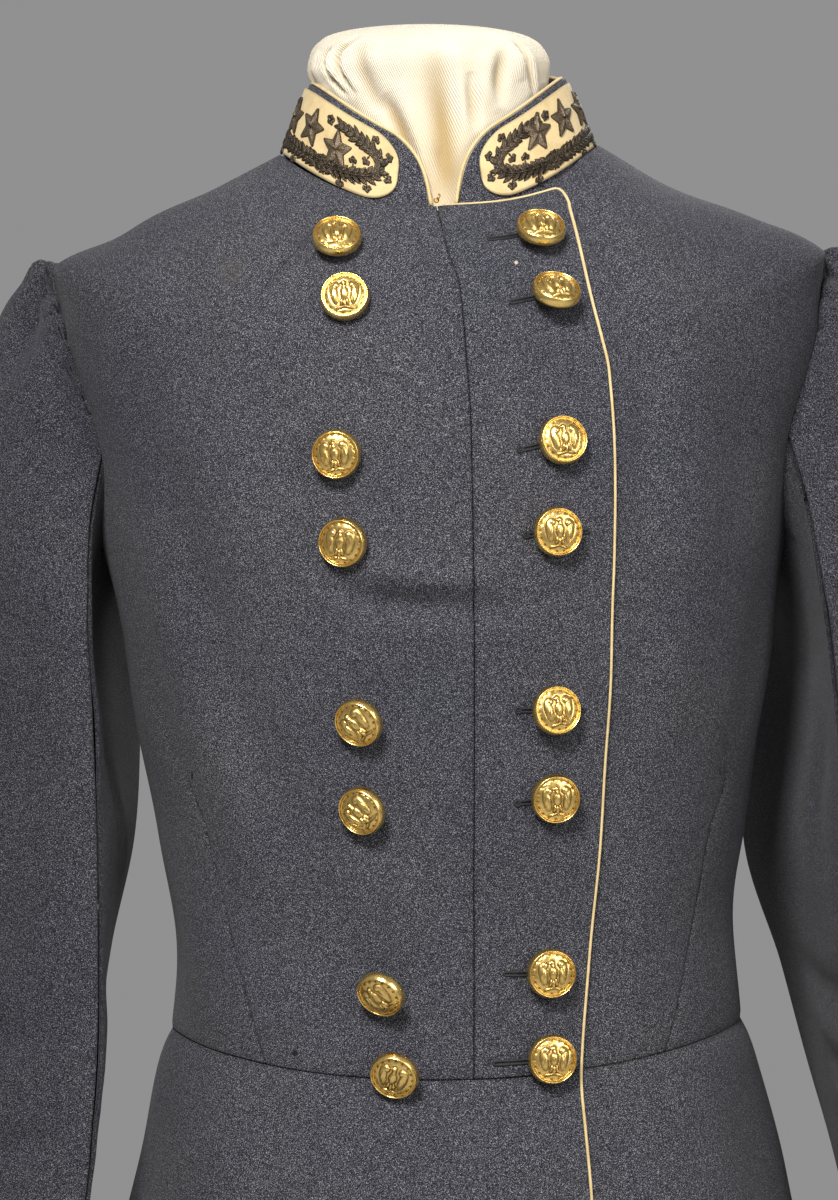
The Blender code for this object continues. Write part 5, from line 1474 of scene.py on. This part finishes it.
# dress form: rings of the hips as height and half width, then levels inside the coat, then the neck
torso = {"shoulderGap": 0.0025, "bodyGap": 0.0075, "around": 240, "hipDepth": 0.78, "flatRadius": 0.055,
         "levels": (0.03, 0.14, 0.28, 0.42, 0.55, 0.68, 0.77, 0.84, 0.88, 0.92, 0.96, 0.985),
         "hips": ((0.865, 0.001), (0.865, 0.035), (0.865, 0.070), (0.867, 0.105), (0.876, 0.124), (0.900, 0.136),
                  (0.940, 0.133), (0.980, 0.125)),
         # the neck above the coat: height, half width, front, back and sideways shift of each ring
         "neck": ((1.428, 0.0553, -0.0565, 0.0404, 0.000), (1.447, 0.0540, -0.0540, 0.0390, -0.001),
                  (1.462, 0.0550, -0.0550, 0.0400, -0.003), (1.472, 0.0568, -0.0560, 0.0415, -0.004),
                  (1.4805, 0.0540, -0.0535, 0.0395, -0.005), (1.4862, 0.0470, -0.0460, 0.0340, -0.007),
                  (1.4898, 0.0330, -0.0330, 0.0220, -0.009), (1.4912, 0.0170, -0.0210, 0.0090, -0.010),
                  (1.4915, 0.0010, -0.0070, -0.0050, -0.010))}


def formPlace(height, half, front, back, shift, turn):
    across = shift + half * np.sin(turn)
    return np.stack([across, (front + back) / 2 - (back - front) / 2 * np.cos(turn), height + 0 * across], -1)


def makeTorso():
    angle = np.linspace(-180, 180, torso["around"], endpoint=False)
    turn = np.radians(angle)
    rings = []
    for height, half in torso["hips"]:
        rings.append(formPlace(height, half, -half * torso["hipDepth"], half * torso["hipDepth"], 0, turn))
    for level in torso["levels"]:
        onTop = ease((level - 0.80) / 0.06) * ease((0.985 - level) / 0.02)
        atSide = ease((np.sin(turn) ** 2 - 0.35) / 0.3)
        gap = torso["bodyGap"] + (torso["shoulderGap"] - torso["bodyGap"]) * onTop * atSide
        rings.append(plainPoint(np.full(len(angle), level), angle, -gap))
    rings += [formPlace(*row, turn) for row in torso["neck"]]
    rings = np.array(rings)
    row = np.arange(len(rings))
    base = len(torso["hips"]) + len(torso["levels"]) - 1      # the last ring inside the coat
    low, high = np.linspace(0, base, 77)[:-1], np.linspace(base, len(rings) - 1, 130)
    fine = np.concatenate([low, high])
    names = ("row", *range(3))
    points = np.empty((len(fine), len(angle), 3))
    for column in range(len(angle)):
        data = np.column_stack([row, rings[:, column]])
        points[:, column] = np.stack([readTable(names, data, k, fine) for k in range(3)], -1)
    up = distances(points, 0)
    up = up - up[len(low)]
    flat = np.stack([np.broadcast_to(turn[None] * torso["flatRadius"], up.shape), up], -1)
    points, hollow = neckFolds(points, turn)
    piece = putMesh("torsoCover", points, closedFaces(*points.shape[:2]), "cotton", {"hollow": hollow}, flat,
                    2 * math.pi * torso["flatRadius"])
    dress(piece, "cotton", "form_torso")


# folds of the neck cover: upright ones as (angle, half width in degrees, rise), and the ones that show from the
# front as places (angle, height), half width and depth, where a negative depth stands out
neckCover = {"folds": ((-84, 6, -0.0018), (-104, 9, 0.0016), (-128, 8, -0.0016), (-152, 8, 0.0016),
                       (184, 7, 0.0010), (110, 8, -0.0014), (135, 9, 0.0016), (160, 8, -0.0014), (80, 7, 0.0012)),
             "creases": (
    (((-55, 1.4800), (-59, 1.4757), (-58, 1.4697), (-52, 1.4613), (-45, 1.4560)), 0.0013, 0.0026),
    (((-36, 1.4850), (-42, 1.4815), (-48, 1.4768), (-49, 1.4708), (-46, 1.4636), (-41, 1.4560)), 0.0015, 0.0032),
    (((-51, 1.4800), (-54, 1.4740), (-51, 1.4660)), 0.0024, -0.0022),
    (((-66, 1.4790), (-70, 1.4720), (-64, 1.4640)), 0.0050, -0.0016),
    (((-32, 1.4810), (-35, 1.4755), (-33, 1.4624), (-27, 1.4480)), 0.0040, 0.0022),
    (((-26, 1.4560), (-18, 1.4420), (-10, 1.4240)), 0.0042, 0.0036),
    (((-20, 1.4560), (-13, 1.4400), (-4, 1.4180), (1, 1.4040)), 0.0030, -0.0026),
    (((3, 1.4760), (2, 1.4560), (5, 1.4300), (6, 1.4060)), 0.0075, 0.0028),
    (((14, 1.4820), (15, 1.4640), (12, 1.4400), (10, 1.4160)), 0.0050, -0.0020),
    (((20, 1.4660), (19, 1.4560), (18.5, 1.4470), (20, 1.4380)), 0.0026, 0.0030),
    (((27, 1.4760), (27, 1.4600), (32, 1.4460)), 0.0045, -0.0022),
    (((38, 1.4760), (35, 1.4620), (34, 1.4500)), 0.0030, 0.0020),
    (((50, 1.4820), (54, 1.4744), (59, 1.4640), (62, 1.4560)), 0.0020, 0.0028),
    (((46, 1.4800), (48, 1.4720), (50, 1.4620)), 0.0036, -0.0018))}


def neckSpot(places):      # the neck's plain surface at places given as angle and height
    names = ("height", "half", "front", "back", "shift")
    row = (readTable(names, torso["neck"], name, places[:, 1]) for name in names[1:])
    return formPlace(places[:, 1], *row, np.radians(places[:, 0]))


def neckFolds(points, turn):     # humps in angle behind, and troughs and rolls along paths in front
    height = points[..., 2]
    grow = ease((height - 1.425) / 0.02) * ease((1.4905 - height) / 0.006)
    out = grow * sum(depth * hump((np.degrees(turn)[None] - at + 180) % 360 - 180 + 60 * (height - 1.46), width)
                     for at, width, depth in neckCover["folds"])
    high = height[:, 0] > 1.39
    front = np.zeros(points.shape[:2])
    for places, width, depth in neckCover["creases"]:
        front[high] += trough(points[high], neckSpot(smoothRun(places)), width, depth, 0.3)
    away = points * [1, 1, 0] - [0, -0.007, 0]
    away /= np.linalg.norm(away, axis=-1, keepdims=True) + 1e-9
    # painted shade: deeper troughs get darker, and the cover darkens towards the bottom by the collar
    hollow = np.clip(-(front + out) / 0.0036, 0, 1) ** 1.2 + 0.60 * ease((1.456 - height) / 0.045)
    return points + away * (out + front)[..., None], np.clip(hollow, 0, 1)


makeTorso()


stand = {
    "standBaseSteel": ("stand_base", ((0.0001, 0.0), (0.196, 0.0), (0.1992, 0.0008), (0.200, 0.0024),
                                      (0.200, 0.0076), (0.1992, 0.0092), (0.1975, 0.0100), (0.0001, 0.0100))),
    "standPoleSteel": ("stand_pole", ((0.0001, 0.0103), (0.0157, 0.0103), (0.0160, 0.0106), (0.0160, 0.8644),
                                      (0.0157, 0.8647), (0.0001, 0.8647)))}


def makeStand():
    for name, (node, profile) in stand.items():
        rows = lathe(profile, circle(96))
        piece = putMesh(name, rows, closedFaces(*rows.shape[:2]), "steel")
        piece.data.set_sharp_from_angle(angle=math.radians(35))
        dress(piece, "steel", node)


makeStand()
print("form and stand made")

# the studio's lights: name, place, size and power
studio = {"floor": (0.42, 0.415, 0.405), "world": (0.88, 0.88, 0.88), "strength": 0.32,
          "lights": (("key", (-0.6, -2.5, 3.2), 0.9, 152.0), ("fill", (2.2, -2.4, 2.0), 1.6, 46.0),
                     ("back", (0.6, 2.4, 2.8), 1.6, 34.0))}


def makeStudio():
    made = Finish("plain floor", Roughness=0.8)
    grain = made.noise(made.place(), 30.0, 4.0, 0.6)
    darker = tuple(part * 0.96 for part in studio["floor"])
    made.give("Base Color", made.mix(grain.between(0.3, 0.7), studio["floor"], darker))
    mesh = bpy.data.meshes.new("floor")
    mesh.from_pydata([(-8, -8, 0), (8, -8, 0), (8, 8, 0), (-8, 8, 0)], [], [(0, 1, 2, 3)])
    mesh.materials.append(made.made)
    floor = bpy.data.objects.new("floor", mesh)
    bpy.context.scene.collection.objects.link(floor)
    for name, place, size, power in studio["lights"]:
        data = bpy.data.lights.new(name, "AREA")
        data.energy, data.size = power, size
        light = bpy.data.objects.new(name, data)
        light.location = place
        light.rotation_euler = (Vector((0, 0, 1.2)) - Vector(place)).to_track_quat("-Z", "Y").to_euler()
        bpy.context.scene.collection.objects.link(light)
    world = bpy.data.worlds.new("studio")
    world.use_nodes = True
    background = world.node_tree.nodes["Background"]
    background.inputs[0].default_value = (*studio["world"], 1)
    background.inputs[1].default_value = studio["strength"]
    bpy.context.scene.world = world
    bpy.context.scene.view_settings.view_transform = "Standard"


makeStudio()
print("studio made")
